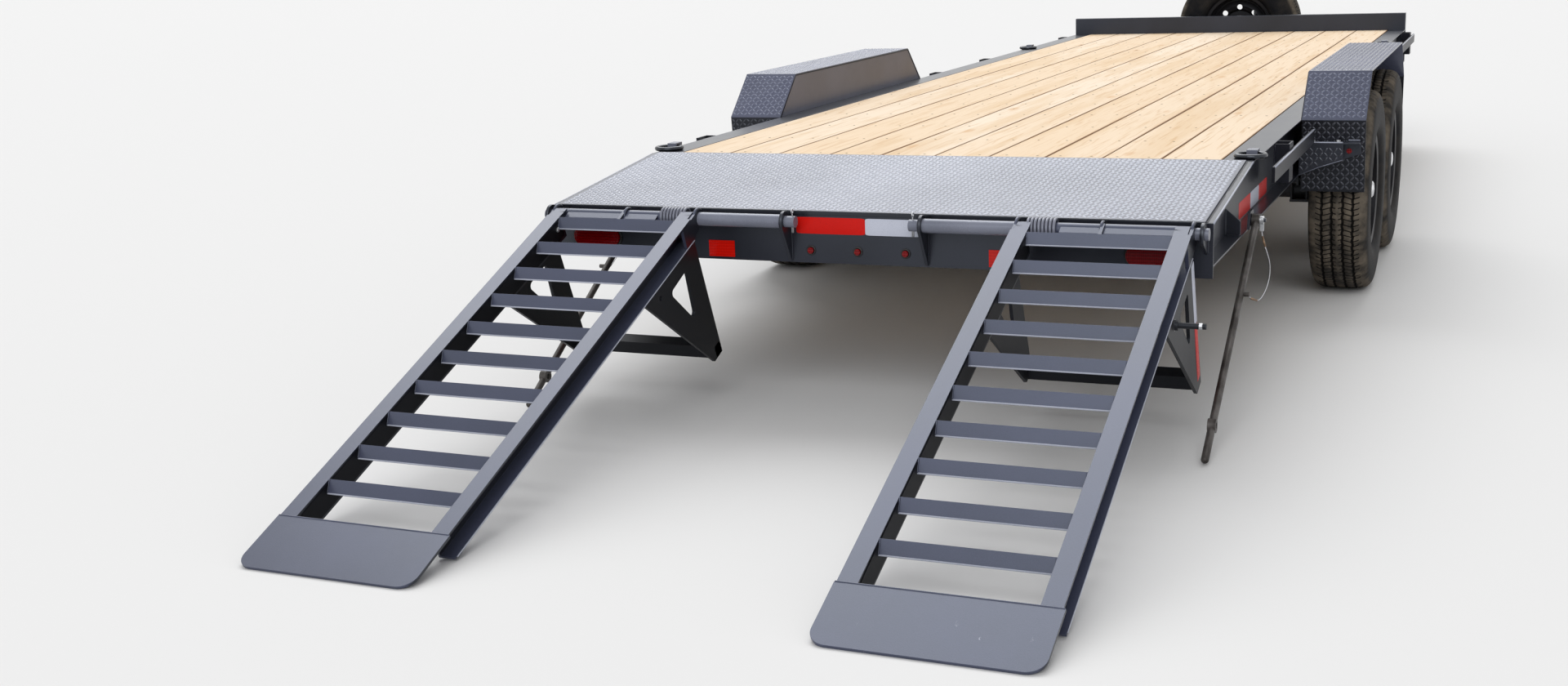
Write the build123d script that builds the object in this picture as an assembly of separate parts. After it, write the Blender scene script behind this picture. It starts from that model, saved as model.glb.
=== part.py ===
from build123d import *
import math
import os

# Equipment trailer with a dovetail and two stand-up ramps, standing on its jack.
# Millimetres, +X to the trailer's right, +Y towards the tongue, +Z up, floor at Z = 0.
# Stations along Y are counted from the dovetail's rear edge. The finished model is
# moved along Y so that its bounding box is centred on the origin.

os.makedirs("parts", exist_ok=True)

# Main frame
frame_width = 2108.0
beam_depth = 203.0
beam_flange = 100.0
beam_flange_t = 6.0
beam_web_t = 5.0
tail_length = 700.0
tail_drop = 77.0
frame_front = 6870.0
front_channel_t = 50.0
bumper_depth = 156.0
bumper_web_t = 6.0
bumper_flange = 49.0
bumper_flange_t = 8.0
gusset_y = 490.0
gusset_t = 8.0
gusset_inset = 3.0
gusset_high = 90.0
gusset_low = 50.0

# Cross members and deck
cross_depth = 76.0
cross_flange = 36.0
cross_t = 5.0
cross_pitch = 406.0
first_cross_gap = 60.0
board_count = 10
board_gap = 4.0
board_t = 38.0
plate_t = 5.0
plate_inset = 22.0
lip_drop = 8.0
lip_chamfer = 2.0
tail_cross_stations = (190.0, 440.0)

# Headboard rail, stake pockets and rub rail
rail_height = 105.0
rail_wall = 6.0
pocket_length = 90.0
pocket_wall = 6.0
pocket_height = 130.0
pocket_drop = 2.0
rub_t = 10.0
rub_height = 51.0
rub_top_drop = 22.0
rub_tail_gap = 45.0
rub_behind_fender = 105.0
rub_ahead_of_fender = 116.0
rub_front_gap = 40.0
pocket_depth = 50.0
rear_pocket_gap = 455.0
front_pocket_gap = 220.0
last_pocket_gap = 190.0
front_pocket_count = 4

# Tongue and coupler
tongue_depth = 152.0
tongue_flange = 49.0
tongue_t = 6.0
tongue_root_x = 560.0
tongue_tip_x = 62.0
tongue_length = 1410.0
tongue_plate_t = 10.0
coupler_plate_t = 10.0
coupler_plate_height = 230.0
coupler_plate_drop = 30.0
coupler_channel = 80.0
coupler_cheek = 64.0
coupler_hole_in = 34.0
coupler_hole_rise = 40.0
coupler_bolt_past = 14.0
bolt_play = 0.3
coupler_hole_r = 9.5
coupler_hole_pitch = 50.8
coupler_hole_count = 4
ball_r = 29.4
ball_gap = 0.8
cup_wall = 8.0
ball_rise = 50.0
coupler_length = 230.0
coupler_wall = 8.0
coupler_lip = 6.0
skirt_height = 24.0
latch_width = 30.0
coupler_width = 78.0
coupler_height = 66.0
chain_eye_r = 10.0
chain_eye_t = 12.0
chain_eye_back = 210.0
chain_eye_width = 60.0
chain_eye_drop = 24.0
chain_eye_below = 22.0
chain_eye_inset = 18.0

# Running gear
tyre_r = 391.0
tyre_width = 223.0
tread_width = 182.0
wheel_gap = 18.0
rim_r = 203.0
rim_width = 176.0
rim_lip = 12.0
rim_well = 16.0
rim_t = 5.0
bead_gap = 3.5
bead_edge = 2.5
shoulder_drop = 22.0
axle_spacing = 889.0
tandem_y = 2747.0
axle_r = 38.0
hand_hole_count = 8
hand_hole_r = 17.0
hand_hole_pcr = 132.0
disc_crown = 30.0
disc_t = 8.0
disc_pad_r = 105.0
disc_crown_r = 140.0
stud_count = 8
stud_pcr = 82.5
wheel_nut_r = 13.0
wheel_nut_length = 20.0
nut_gap = 0.15
hub_r = 62.0
spindle_r = 19.0
spindle_play = 0.08
cap_r = 41.0
cap_length = 62.0
drum_r = 165.0
drum_width = 84.0
drum_wall = 8.0
shoe_plate_t = 5.0
shoe_plate_gap = 6.0
shoe_plate_inset = 3.0
spindle_past = 30.0
hub_end_gap = 6.0
spring_width = 45.0
spring_half = 320.0
leaf_t = 9.0
leaf_count = 5
leaf_step = 55.0
leaf_seat_t = 12.0
leaf_seat_length = 80.0
u_bolt_r = 6.0
u_bolt_gap = 7.0
u_bolt_reach = 48.0
u_bolt_edge = 12.0
clamp_t = 10.0
clamp_cap_t = 8.0
eye_r = 18.0
eye_drop = 2.0
pin_r = 7.8
pin_play = 0.1
hanger_drop = 35.0
hanger_t = 8.0
hanger_play = 1.0
hanger_foot = 22.0
hanger_length = 80.0
centre_hanger_length = 110.0
pin_past = 10.0
equalizer_t = 20.0
equalizer_end_r = 18.0
equalizer_half = 14.0
equalizer_sag = 9.0
equalizer_belly = 18.0
equalizer_middle = 36.0
shackle_drop = 35.0
shackle_t = 6.0
shackle_half = 14.0

# Fenders
fender_width = 228.6
fender_base = 1794.0
fender_top_length = 1434.0
fender_rise = 165.0
fender_t = 4.0
skirt_drop = 270.0
skirt_inset = 26.0
fender_side_drop = 70.0
bracket_t = 6.0
bracket_drop = 78.0
bracket_height = 92.0
bracket_tip = 46.0
bracket_root = 122.0
bracket_knee = 70.0
bracket_shelf = 50.0
bracket_inset = 14.0
bracket_step = 1.8

# Ramp hinge
hinge_y = -45.0
hinge_drop = 23.0
shaft_r = 17.45
hinge_play = 0.075
pipe_r = 21.1
inner_ear_x = 220.0
outer_ear_inset = 19.0
ear_t = 10.0
ear_r = 32.0
ear_lip_gap = 8.0
ear_foot = 8.0
inner_ear_rise = 6.0
outer_ear_rise = 70.0
shaft_end = 16.0
shaft_inner_end = 38.0
collar_play = 1.0

# Ramps, in their own frame: u runs down the ramp from the hinge axis, v stands off its deck
ramp_inset = 294.0
ramp_width = 508.0
ramp_top_v = 31.5
ramp_rail_depth = 76.0
ramp_rail_flange = 50.0
ramp_rail_t = 6.0
ramp_rail_start = 54.0
ramp_rail_end = 1542.0
rung_count = 10
rung_start = 66.0
rung_pitch = 146.6
rung_leg = 38.0
rung_t = 5.0
toe_start = 1538.0
toe_end = 1730.0
toe_t = 8.0
toe_overhang = 5.0
toe_corner = 45.0
ramp_ear_t = 10.0
ramp_ear_length = 60.0
ramp_ear_r = 30.0
spring_coil_r = 31.0
spring_wire_r = 4.5
spring_turns = 8
spring_pitch = 12.0
spring_gap = 21.0

# Ramp knees, in the same frame
knee_t = 10.0
knee_top_u = 62.0
knee_foot_u = 57.0
knee_foot_v = -459.0
knee_foot_length = 60.0
knee_heel_u = 426.0
knee_window = ((150.0, 48.0), (275.0, 53.0), (164.0, 229.0))
window_corner = 14.0
foot_tube = 44.0
foot_wall = 4.0
stud_u = 335.0
stud_v = -75.0
stud_r = 8.0
stud_past = 9.5
stud_nut_r = 14.0
stud_nut_t = 10.0

# Ramp braces
brace_out = 21.0
brace_y = 640.0
brace_rise = 30.0
brace_r = 11.0
brace_length = 1000.0
brace_lug_t = 2 * brace_r + 1
brace_lug_r = 20.0
brace_pin_r = 6.5
brace_pin_play = 0.1
stud_play = 1.5
tether_station = 333.0
tether_bolt_r = 7.0
tether_bolt_length = 16.0
brace_lug_plate = 8.0
pivot_length = 90.0
pivot_collar_r = 12.0
pivot_collar_gap = 0.5
pin_past_lug = 18.0
clip_r = 13.0
clip_t = 11.7
clip_tail = 34.0
clip_width = 10.0
wire_r = 1.6

# Jack
jack_back = 380.0
jack_outer = 70.0
jack_wall = 5.0
jack_above = 323.0
jack_below = 332.0
jack_overlap = 330.0
jack_leg_wall = 4.0
jack_foot = 150.0
jack_foot_t = 8.0
jack_travel = 240.0
jack_play = 0.3
jack_gear_width = 26.0
jack_gear_height = 70.0
jack_gear_length = 60.0
jack_ring_width = 120.0
jack_ring_t = 10.0
crank_drop = 80.0
crank_shaft_r = 9.0
crank_shaft_length = 40.0
crank_arm_t = 10.0
crank_arm_width = 20.0
crank_arm_length = 180.0
crank_grip_r = 12.0
crank_grip_length = 95.0

# Spare wheel
spare_ahead = 180.0
spare_rise = 223.0
spare_plate_r = 100.0
spare_plate_t = 8.0
spare_post_width = 70.0
spare_post_gap = 14.0
spare_arm_half = 30.0
spare_post_above = 60.0

# Tie-down rings and lamps
ring_wire_r = 8.0
ring_half = 45.0
ring_rear_gap = 90.0
ring_front_gap = 1270.0
ring_inset = 22.0
strap_width = 28.0
strap_foot = 12.0
strap_t = 6.0
strap_length = 34.0
oval_lamp_inset = 159.0
oval_lamp_drop = 97.0
oval_lamp_length = 165.0
oval_lamp_height = 57.0
lamp_t = 12.0
marker_r = 9.5
marker_t = 9.0
marker_pitch = 152.4
marker_drop = 117.0
side_marker_inset = 41.0
side_marker_drop = 34.0
reflector_x = 454.0
reflector_width = 88.0
reflector_height = 51.0
reflector_t = 3.0
reflector_rise = 9.0
seat_gap = 0.3

# Values worked out from the sizes above
half_width = frame_width / 2
beam_x = half_width - beam_flange / 2
inner_x = half_width - beam_flange
rub_x = half_width + pocket_depth
wheel_x = half_width + wheel_gap + tyre_width / 2
spring_x = beam_x
spring_low = tyre_r + axle_r + leaf_seat_t
eye_z = spring_low + (leaf_count - 1) * leaf_t - eye_drop
beam_bottom = eye_z + hanger_drop
deck_height = beam_bottom + beam_depth
tail_z = deck_height - tail_drop
tail_bottom = tail_z - bumper_depth
front_y = frame_front + front_channel_t
tongue_tip_y = front_y + tongue_length
jack_y = tongue_tip_y - jack_back
chain_eye_y = tongue_tip_y - chain_eye_back
chain_eye_z = beam_bottom - chain_eye_drop
spare_y = front_y + spare_ahead
spare_z = beam_bottom + spare_rise
ball_z = beam_bottom + ball_rise
wheel_stations = (tandem_y - axle_spacing / 2, tandem_y + axle_spacing / 2)
fender_rear = tandem_y - fender_base / 2
fender_front = tandem_y + fender_base / 2
fender_x = half_width + fender_width
fender_top = deck_height + fender_rise
rub_spans = (
    (tail_length + rub_tail_gap, fender_rear - rub_behind_fender),
    (fender_front + rub_ahead_of_fender, frame_front - rub_front_gap),
)
first_pocket = rub_spans[1][0] + front_pocket_gap
last_pocket = rub_spans[1][1] - last_pocket_gap
pocket_pitch = (last_pocket - first_pocket) / (front_pocket_count - 1)
pocket_stations = [rub_spans[0][0] + rear_pocket_gap]
pocket_stations += [first_pocket + n * pocket_pitch for n in range(front_pocket_count)]
pocket_top = deck_height - pocket_drop
ring_x = half_width - ring_inset
ring_stations = (tail_length + ring_rear_gap, frame_front - ring_front_gap)
hinge_z = tail_z - hinge_drop
outer_ear_x = half_width - outer_ear_inset
ramp_x = half_width - ramp_inset
brace_x = half_width + brace_out
brace_z = beam_bottom + brace_rise
stud_end_x = brace_x + brace_lug_t / 2 + stud_past
toe_bottom_v = ramp_top_v - toe_t
toe_reach = math.hypot(toe_end, toe_bottom_v)
ramp_angle = math.degrees(math.asin(hinge_z / toe_reach) + math.atan2(toe_bottom_v, toe_end))
rail_bottom_v = ramp_top_v - ramp_rail_depth
slope = math.radians(ramp_angle)
rear_y = hinge_y - toe_end * math.cos(slope) - ramp_top_v * math.sin(slope)
cup_r = ball_r + ball_gap
coupler_nose = tongue_tip_y + coupler_length
centre_y = (rear_y + coupler_nose) / 2
tongue_top = beam_bottom + tongue_depth
jack_top = tongue_top + jack_above
jack_bottom = tongue_top - jack_below
crank_z = jack_top - crank_drop


def box(x0, x1, y0, y1, z0, z1):
    """Block between two corners."""
    place = Pos((x0 + x1) / 2, (y0 + y1) / 2, (z0 + z1) / 2)
    return place * Box(abs(x1 - x0), abs(y1 - y0), abs(z1 - z0))


def side_plate(points, x0, x1):
    """Outline of (y, z) points, thick from x0 to x1."""
    face = Plane.YZ.offset(min(x0, x1)) * Polygon(*points, align=None)
    return extrude(face, amount=abs(x1 - x0), dir=(1, 0, 0))


def cross_plate(points, y0, y1):
    """Outline of (x, z) points, thick from y0 to y1."""
    face = Plane.XZ.offset(-min(y0, y1)) * Polygon(*points, align=None)
    return extrude(face, amount=abs(y1 - y0), dir=(0, 1, 0))


def flat_plate(points, z0, z1):
    """Outline of (x, y) points, thick from z0 to z1."""
    face = Plane.XY.offset(min(z0, z1)) * Polygon(*points, align=None)
    return extrude(face, amount=abs(z1 - z0), dir=(0, 0, 1))


def bar_x(x0, x1, y, z, r):
    """Round bar along X."""
    return Pos((x0 + x1) / 2, y, z) * Rot(0, 90, 0) * Cylinder(r, abs(x1 - x0))


def bar_y(x, y0, y1, z, r):
    """Round bar along Y."""
    return Pos(x, (y0 + y1) / 2, z) * Rot(90, 0, 0) * Cylinder(r, abs(y1 - y0))


def bar_z(x, y, z0, z1, r):
    """Round bar along Z."""
    return Pos(x, y, (z0 + z1) / 2) * Cylinder(r, abs(z1 - z0))


def turned(points, x, y, z, side):
    """Solid of revolution about X. Points are (distance outboard, radius)."""
    face = Plane.XY * Polygon(*points, align=None)
    body = revolve(face, axis=Axis.X)
    if side < 0:
        body = mirror(body, about=Plane.YZ)
    return Pos(x, y, z) * body


def mirrored(shape):
    """The same piece on the trailer's other side."""
    return mirror(shape, about=Plane.YZ)


def save(name, *shapes):
    """Write one node: its solids side by side, moved to the centred frame."""
    placed = [Pos(0, -centre_y, 0) * s for shape in shapes for s in shape.solids()]
    body = placed[0] if len(placed) == 1 else Compound(children=placed)
    export_step(body, "parts/" + name + ".step")


def fused(shapes):
    """One welded piece."""
    first, *rest = shapes
    return first.fuse(*rest) if rest else first


# Main beams with the dovetail, welded to the rear bumper and the front channel
def tail_line(y):
    return tail_z + tail_drop * y / tail_length


def main_beam():
    top = [(bumper_web_t, tail_line(bumper_web_t)), (tail_length, deck_height), (frame_front, deck_height)]
    top_in = [(y, z - beam_flange_t) for y, z in reversed(top)]
    low = [(bumper_web_t, beam_bottom), (frame_front, beam_bottom)]
    low_in = [(y, z + beam_flange_t) for y, z in reversed(low)]
    web = side_plate(top + list(reversed(low)), beam_x - beam_web_t / 2, beam_x + beam_web_t / 2)
    upper = side_plate(top + top_in, inner_x, half_width)
    lower = side_plate(low + low_in, inner_x, half_width)
    gusset = cross_plate(
        [
            (beam_x, beam_bottom + beam_flange_t / 2),
            (half_width - gusset_inset, beam_bottom + beam_flange_t / 2),
            (half_width - gusset_inset, beam_bottom + gusset_low),
            (beam_x, beam_bottom + gusset_high),
        ],
        gusset_y,
        gusset_y + gusset_t,
    )
    return fused([web, upper, lower, gusset])


right_beam = main_beam()
bumper_shape = [
    (0, tail_bottom),
    (0, tail_z),
    (bumper_flange, tail_line(bumper_flange)),
    (bumper_flange, tail_line(bumper_flange) - bumper_flange_t),
    (bumper_web_t, tail_line(bumper_web_t) - bumper_flange_t),
    (bumper_web_t, tail_bottom + bumper_flange_t),
    (bumper_flange, tail_bottom + bumper_flange_t),
    (bumper_flange, tail_bottom),
]
bumper = side_plate(bumper_shape, -inner_x, inner_x)
bumper = bumper + box(-half_width, half_width, 0, bumper_web_t, tail_bottom, tail_z)
save("main_beams", right_beam, mirrored(right_beam))
save("rear_bumper", bumper)

front_channel = side_plate(
    [
        (frame_front, beam_bottom),
        (frame_front, beam_bottom + beam_flange_t),
        (front_y - beam_flange_t, beam_bottom + beam_flange_t),
        (front_y - beam_flange_t, deck_height - beam_flange_t),
        (frame_front, deck_height - beam_flange_t),
        (frame_front, deck_height),
        (front_y, deck_height),
        (front_y, beam_bottom),
    ],
    -half_width,
    half_width,
)

# Headboard rail: a channel on its side, open to the front, standing on the front channel
headboard = box(-half_width, half_width, frame_front, front_y, deck_height, deck_height + rail_height)
headboard -= box(
    -half_width + rail_wall,
    half_width - rail_wall,
    frame_front + rail_wall,
    front_y,
    deck_height + rail_wall,
    deck_height + rail_height - rail_wall,
)
save("front_frame", front_channel + headboard)

# Cross members: channels between the beam webs, under the boards and under the tail plate
cross_top = deck_height - board_t
cross_end = beam_x - beam_web_t / 2


def cross_member(y, top):
    outline = [
        (y, top),
        (y + cross_flange, top),
        (y + cross_flange, top - cross_t),
        (y + cross_t, top - cross_t),
        (y + cross_t, top - cross_depth + cross_t),
        (y + cross_flange, top - cross_depth + cross_t),
        (y + cross_flange, top - cross_depth),
        (y, top - cross_depth),
    ]
    return side_plate(outline, -cross_end, cross_end)


first_cross = tail_length + first_cross_gap
cross_count = int((frame_front - first_cross - cross_flange) // cross_pitch) + 1
cross_members = [cross_member(first_cross + n * cross_pitch, cross_top) for n in range(cross_count)]
for y in tail_cross_stations:
    top = tail_line(y)
    member = side_plate(
        [
            (y, top),
            (y + cross_flange, tail_line(y + cross_flange)),
            (y + cross_flange, tail_line(y + cross_flange) - cross_t),
            (y + cross_t, tail_line(y + cross_t) - cross_t),
            (y + cross_t, top - cross_depth + cross_t),
            (y + cross_flange, top - cross_depth + cross_t),
            (y + cross_flange, top - cross_depth),
            (y, top - cross_depth),
        ],
        -inner_x,
        inner_x,
    )
    ends = box(inner_x, cross_end, y, y + cross_t, top - cross_depth, top - beam_flange_t - 14)
    cross_members.append(fused([member, ends, mirrored(ends)]))
save("cross_members", *cross_members)

# Wooden deck between the beams' flanges
board_width = (2 * inner_x - (board_count + 1) * board_gap) / board_count
boards = []
for n in range(board_count):
    left = -inner_x + board_gap + n * (board_width + board_gap)
    span = (tail_length + board_gap, frame_front - board_gap / 2)
    boards.append(box(left, left + board_width, *span, cross_top, deck_height))
save("deck_boards", *boards)

# Tail plate on the sloping flanges, with its rear lip bent down over the bumper
tail_plate = side_plate(
    [
        (-plate_t, tail_z - lip_drop),
        (-plate_t, tail_z + plate_t - lip_chamfer),
        (-plate_t + lip_chamfer, tail_z + plate_t),
        (tail_length, deck_height + plate_t),
        (tail_length, deck_height),
        (0, tail_z),
        (0, tail_z - lip_drop),
    ],
    -half_width + plate_inset,
    half_width - plate_inset,
)
save("tail_plate", tail_plate)

# Stake pockets and the rub rail outboard of each beam
rub_top = deck_height - rub_top_drop
pocket_bottom = pocket_top - pocket_height


def stake_pocket(y):
    outer = box(half_width, rub_x, y - pocket_length / 2, y + pocket_length / 2, pocket_bottom, pocket_top)
    inner = box(
        half_width,
        rub_x - pocket_wall,
        y - pocket_length / 2 + pocket_wall,
        y + pocket_length / 2 - pocket_wall,
        pocket_bottom,
        pocket_top,
    )
    return outer - inner


def rub_rail(y0, y1):
    return box(rub_x, rub_x + rub_t, y0, y1, rub_top - rub_height, rub_top)


pockets = [stake_pocket(y) for y in pocket_stations]
rails = [rub_rail(*span) for span in rub_spans]
save("stake_pockets", *pockets, *[mirrored(p) for p in pockets])
save("rub_rails", *rails, *[mirrored(r) for r in rails])


# Tongue: two channels closing from the frame to the coupler, with a jack cross plate
def tongue_leg():
    direction = math.atan2(tongue_root_x - tongue_tip_x, tongue_tip_y - front_y)
    web_in = [
        (tongue_root_x, front_y),
        (tongue_tip_x, tongue_tip_y),
        (tongue_tip_x - tongue_t / math.cos(direction), tongue_tip_y),
        (tongue_root_x - tongue_t / math.cos(direction), front_y),
    ]
    inner = tongue_flange / math.cos(direction)
    flange = [
        (tongue_root_x, front_y),
        (tongue_tip_x, tongue_tip_y),
        (tongue_tip_x - inner, tongue_tip_y),
        (tongue_root_x - inner, front_y),
    ]
    web = flat_plate(web_in, beam_bottom, tongue_top)
    low = flat_plate(flange, beam_bottom, beam_bottom + tongue_t)
    high = flat_plate(flange, tongue_top - tongue_t, tongue_top)
    return fused([web, low, high])


def tongue_half_width(y):
    """Outer half width of the tongue at a station."""
    share = (y - front_y) / (tongue_tip_y - front_y)
    return tongue_root_x + (tongue_tip_x - tongue_root_x) * share


right_leg = tongue_leg()

plate_half = tongue_half_width(jack_y + jack_foot / 2) - 2
jack_hole = jack_outer / 2 + seat_gap
plate_rear = jack_y - jack_foot / 2
plate_front = jack_y + jack_foot / 2
jack_plate = box(-plate_half, plate_half, plate_rear, plate_front, tongue_top, tongue_top + tongue_plate_t)
jack_plate -= box(-jack_hole, jack_hole, jack_y - jack_hole, jack_y + jack_hole, 0, jack_top)
coupler_low = beam_bottom - coupler_plate_drop
nose_plate = box(
    -tongue_tip_x,
    tongue_tip_x,
    tongue_tip_y,
    tongue_tip_y + coupler_plate_t,
    coupler_low,
    coupler_low + coupler_plate_height,
)
cheeks = []
for sign in (1, -1):
    inner_cheek = coupler_channel / 2
    outer_cheek = inner_cheek + coupler_plate_t
    cheek = box(
        sign * inner_cheek,
        sign * outer_cheek,
        tongue_tip_y + coupler_plate_t,
        tongue_tip_y + coupler_plate_t + coupler_cheek,
        coupler_low,
        coupler_low + coupler_plate_height,
    )
    cheeks.append(cheek)
coupler_bracket = fused([nose_plate] + cheeks)
hole_y = tongue_tip_y + coupler_plate_t + coupler_hole_in
hole_levels = [coupler_low + coupler_hole_rise + n * coupler_hole_pitch for n in range(coupler_hole_count)]
for z in hole_levels:
    coupler_bracket -= bar_x(-tongue_tip_x, tongue_tip_x, hole_y, z, coupler_hole_r)
chain_eyes = []
for sign in (1, -1):
    x = sign * (tongue_half_width(chain_eye_y) - chain_eye_inset - chain_eye_t / 2)
    eye = box(
        x - chain_eye_t / 2,
        x + chain_eye_t / 2,
        chain_eye_y - chain_eye_width / 2,
        chain_eye_y + chain_eye_width / 2,
        chain_eye_z - chain_eye_below,
        beam_bottom,
    )
    eye -= bar_x(x - chain_eye_t, x + chain_eye_t, chain_eye_y, chain_eye_z, chain_eye_r)
    chain_eyes.append(eye)
save("tongue", right_leg, mirrored(right_leg))
save("tongue_plates", jack_plate, *chain_eyes)

# Ball coupler: a hollow head over the ball with a shank between the bracket's cheeks
ball_y = coupler_nose - cup_r - cup_wall
shank_y = tongue_tip_y + coupler_plate_t + 2
half_coupler = coupler_width / 2
shank_low = ball_z - coupler_lip
latch_z = shank_low + coupler_height
cup_front = ball_y - cup_r - cup_wall
shank = box(-half_coupler, half_coupler, shank_y, ball_y, shank_low, latch_z)
shank -= box(
    -half_coupler + coupler_wall,
    half_coupler - coupler_wall,
    shank_y,
    cup_front - coupler_wall,
    shank_low,
    latch_z - coupler_wall,
)
head = Pos(0, ball_y, ball_z) * Sphere(cup_r + cup_wall)
skirt = bar_z(0, ball_y, ball_z - skirt_height, ball_z, cup_r + cup_wall)
coupler = shank + head + skirt
coupler -= Pos(0, ball_y, ball_z) * Sphere(cup_r)
coupler -= bar_z(0, ball_y, ball_z - skirt_height - cup_r, ball_z, cup_r)
bolt_half = coupler_channel / 2 + coupler_plate_t + coupler_bolt_past
coupler_bolts = []
for z in hole_levels:
    if shank_low + coupler_hole_r < z < latch_z - coupler_wall - coupler_hole_r:
        coupler -= bar_x(-half_coupler, half_coupler, hole_y, z, coupler_hole_r)
        coupler_bolts.append(bar_x(-bolt_half, bolt_half, hole_y, z, coupler_hole_r - bolt_play))
latch_offsets = ((150, 0), (150, 16), (100, 40), (55, 44), (40, 12), (50, 0))
latch = side_plate([(ball_y - back, latch_z + up) for back, up in latch_offsets], -latch_width / 2, latch_width / 2)
save("ball_coupler", coupler)
save("coupler_bracket", coupler_bracket, *coupler_bolts)
save("coupler_latch", latch)

# Axles: tube with spindles, brake backing plates, and leaf springs on hangers
plate_x = wheel_x - drum_width - shoe_plate_gap
shoe_r = drum_r - shoe_plate_inset
axle_tubes = []
for y in wheel_stations:
    tube = bar_x(-plate_x, plate_x, y, tyre_r, axle_r)
    spindles = [bar_x(s * plate_x, s * (wheel_x + spindle_past), y, tyre_r, spindle_r) for s in (1, -1)]
    discs = [bar_x(s * (plate_x - shoe_plate_t), s * plate_x, y, tyre_r, shoe_r) for s in (1, -1)]
    axle_tubes.append(fused([tube] + spindles + discs))
save("axles", *axle_tubes)

# Leaf springs: a stepped pack above each axle, eyes at both ends, clamped down by U-bolts
springs = []
seats = []
leaf_in = spring_x - spring_width / 2
leaf_out = spring_x + spring_width / 2
leaf_top = spring_low + leaf_count * leaf_t
cap_top = leaf_top + clamp_cap_t
tie_low = tyre_r - axle_r - clamp_t
eye_bore = pin_r + 2 * pin_play
pin_bore = pin_r + pin_play
for y in wheel_stations:
    parts = []
    for n in range(leaf_count):
        half = spring_half - n * leaf_step
        z = spring_low + (leaf_count - 1 - n) * leaf_t
        parts.append(box(leaf_in, leaf_out, y - half, y + half, z, z + leaf_t))
    pack = fused(parts)
    for end in (-1, 1):
        pack += bar_x(leaf_in, leaf_out, y + end * spring_half, eye_z, eye_r)
        pack -= bar_x(leaf_in, leaf_out, y + end * spring_half, eye_z, eye_bore)
    springs.append(pack)
    seat_half = leaf_seat_length / 2
    seat = box(leaf_in, leaf_out, y - seat_half, y + seat_half, tyre_r + axle_r - leaf_seat_t, spring_low)
    seat -= bar_x(leaf_in - 1, leaf_out + 1, y, tyre_r, axle_r)
    side = u_bolt_gap + u_bolt_r + pin_play
    reach = u_bolt_reach + u_bolt_edge
    tie = box(leaf_in - side, leaf_out + side, y - reach, y + reach, tie_low, tie_low + clamp_t)
    cap = box(leaf_in - side, leaf_out + side, y - reach, y + reach, leaf_top, cap_top)
    bolts = [
        bar_z(x, y + sign * u_bolt_reach, tie_low, cap_top, u_bolt_r)
        for x in (leaf_in - u_bolt_gap, leaf_out + u_bolt_gap)
        for sign in (1, -1)
    ]
    seats.append(fused([tie, cap] + bolts))
    seats.append(seat)
save("leaf_springs", *springs, *[mirrored(s) for s in springs])
save("spring_seats", *seats, *[mirrored(s) for s in seats])

# Hangers under the beams, and the equalizers between the springs
pins = []
hangers = []
cheek_in = spring_width / 2 + hanger_play
pin_half = cheek_in + hanger_t + pin_past
spring_rear_eye = wheel_stations[0] - spring_half
spring_front_eye = wheel_stations[1] + spring_half
for y, length in (
    (spring_rear_eye, hanger_length),
    (tandem_y, centre_hanger_length),
    (spring_front_eye, hanger_length),
):
    for s in (-1, 1):
        x = spring_x + s * (cheek_in + hanger_t / 2)
        cheek = side_plate(
            [
                (y - length / 2, beam_bottom),
                (y + length / 2, beam_bottom),
                (y + hanger_foot, eye_z - hanger_foot),
                (y - hanger_foot, eye_z - hanger_foot),
            ],
            x - hanger_t / 2,
            x + hanger_t / 2,
        )
        hangers.append(cheek - bar_x(x - hanger_t, x + hanger_t, y, eye_z, pin_bore))
    pins.append(bar_x(spring_x - pin_half, spring_x + pin_half, y, eye_z, pin_r))
arm_rear = wheel_stations[0] + spring_half
arm_front = wheel_stations[1] - spring_half
link_z = eye_z - shackle_drop
arm_top = link_z + equalizer_half
arm_low = link_z - equalizer_half
middle_top = arm_top - equalizer_sag
middle_low = arm_low - equalizer_belly
equalizer_in = spring_x - equalizer_t / 2
equalizer_out = spring_x + equalizer_t / 2
bar = side_plate(
    [
        (arm_rear - equalizer_end_r, arm_top),
        (tandem_y - equalizer_middle, middle_top),
        (tandem_y + equalizer_middle, middle_top),
        (arm_front + equalizer_end_r, arm_top),
        (arm_front + equalizer_end_r, arm_low),
        (tandem_y + equalizer_middle, middle_low),
        (tandem_y - equalizer_middle, middle_low),
        (arm_rear - equalizer_end_r, arm_low),
    ],
    equalizer_in,
    equalizer_out,
)
post = side_plate(
    [
        (tandem_y - shackle_half, eye_z + equalizer_end_r),
        (tandem_y + shackle_half, eye_z + equalizer_end_r),
        (tandem_y + hanger_foot, link_z),
        (tandem_y - hanger_foot, link_z),
    ],
    equalizer_in,
    equalizer_out,
)
equalizer = bar + post - bar_x(equalizer_in - 1, equalizer_out + 1, tandem_y, eye_z, pin_bore)
shackles = []
shackle_pin_half = cheek_in + shackle_t + pin_past
for y in (arm_rear, arm_front):
    equalizer -= bar_x(equalizer_in - 1, equalizer_out + 1, y, link_z, pin_bore)
    for s in (-1, 1):
        x = spring_x + s * (cheek_in + shackle_t / 2)
        x0 = x - shackle_t / 2
        x1 = x + shackle_t / 2
        strap = box(x0, x1, y - shackle_half, y + shackle_half, link_z - shackle_half, eye_z + shackle_half)
        for z in (eye_z, link_z):
            strap -= bar_x(x0 - 1, x1 + 1, y, z, pin_bore)
        shackles.append(strap)
    for z in (eye_z, link_z):
        pins.append(bar_x(spring_x - shackle_pin_half, spring_x + shackle_pin_half, y, z, pin_r))
save("spring_hangers", *hangers, *[mirrored(h) for h in hangers])
save("equalizers", equalizer, mirrored(equalizer))
save("shackles", *shackles, *pins, *[mirrored(s) for s in shackles + pins])

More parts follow.
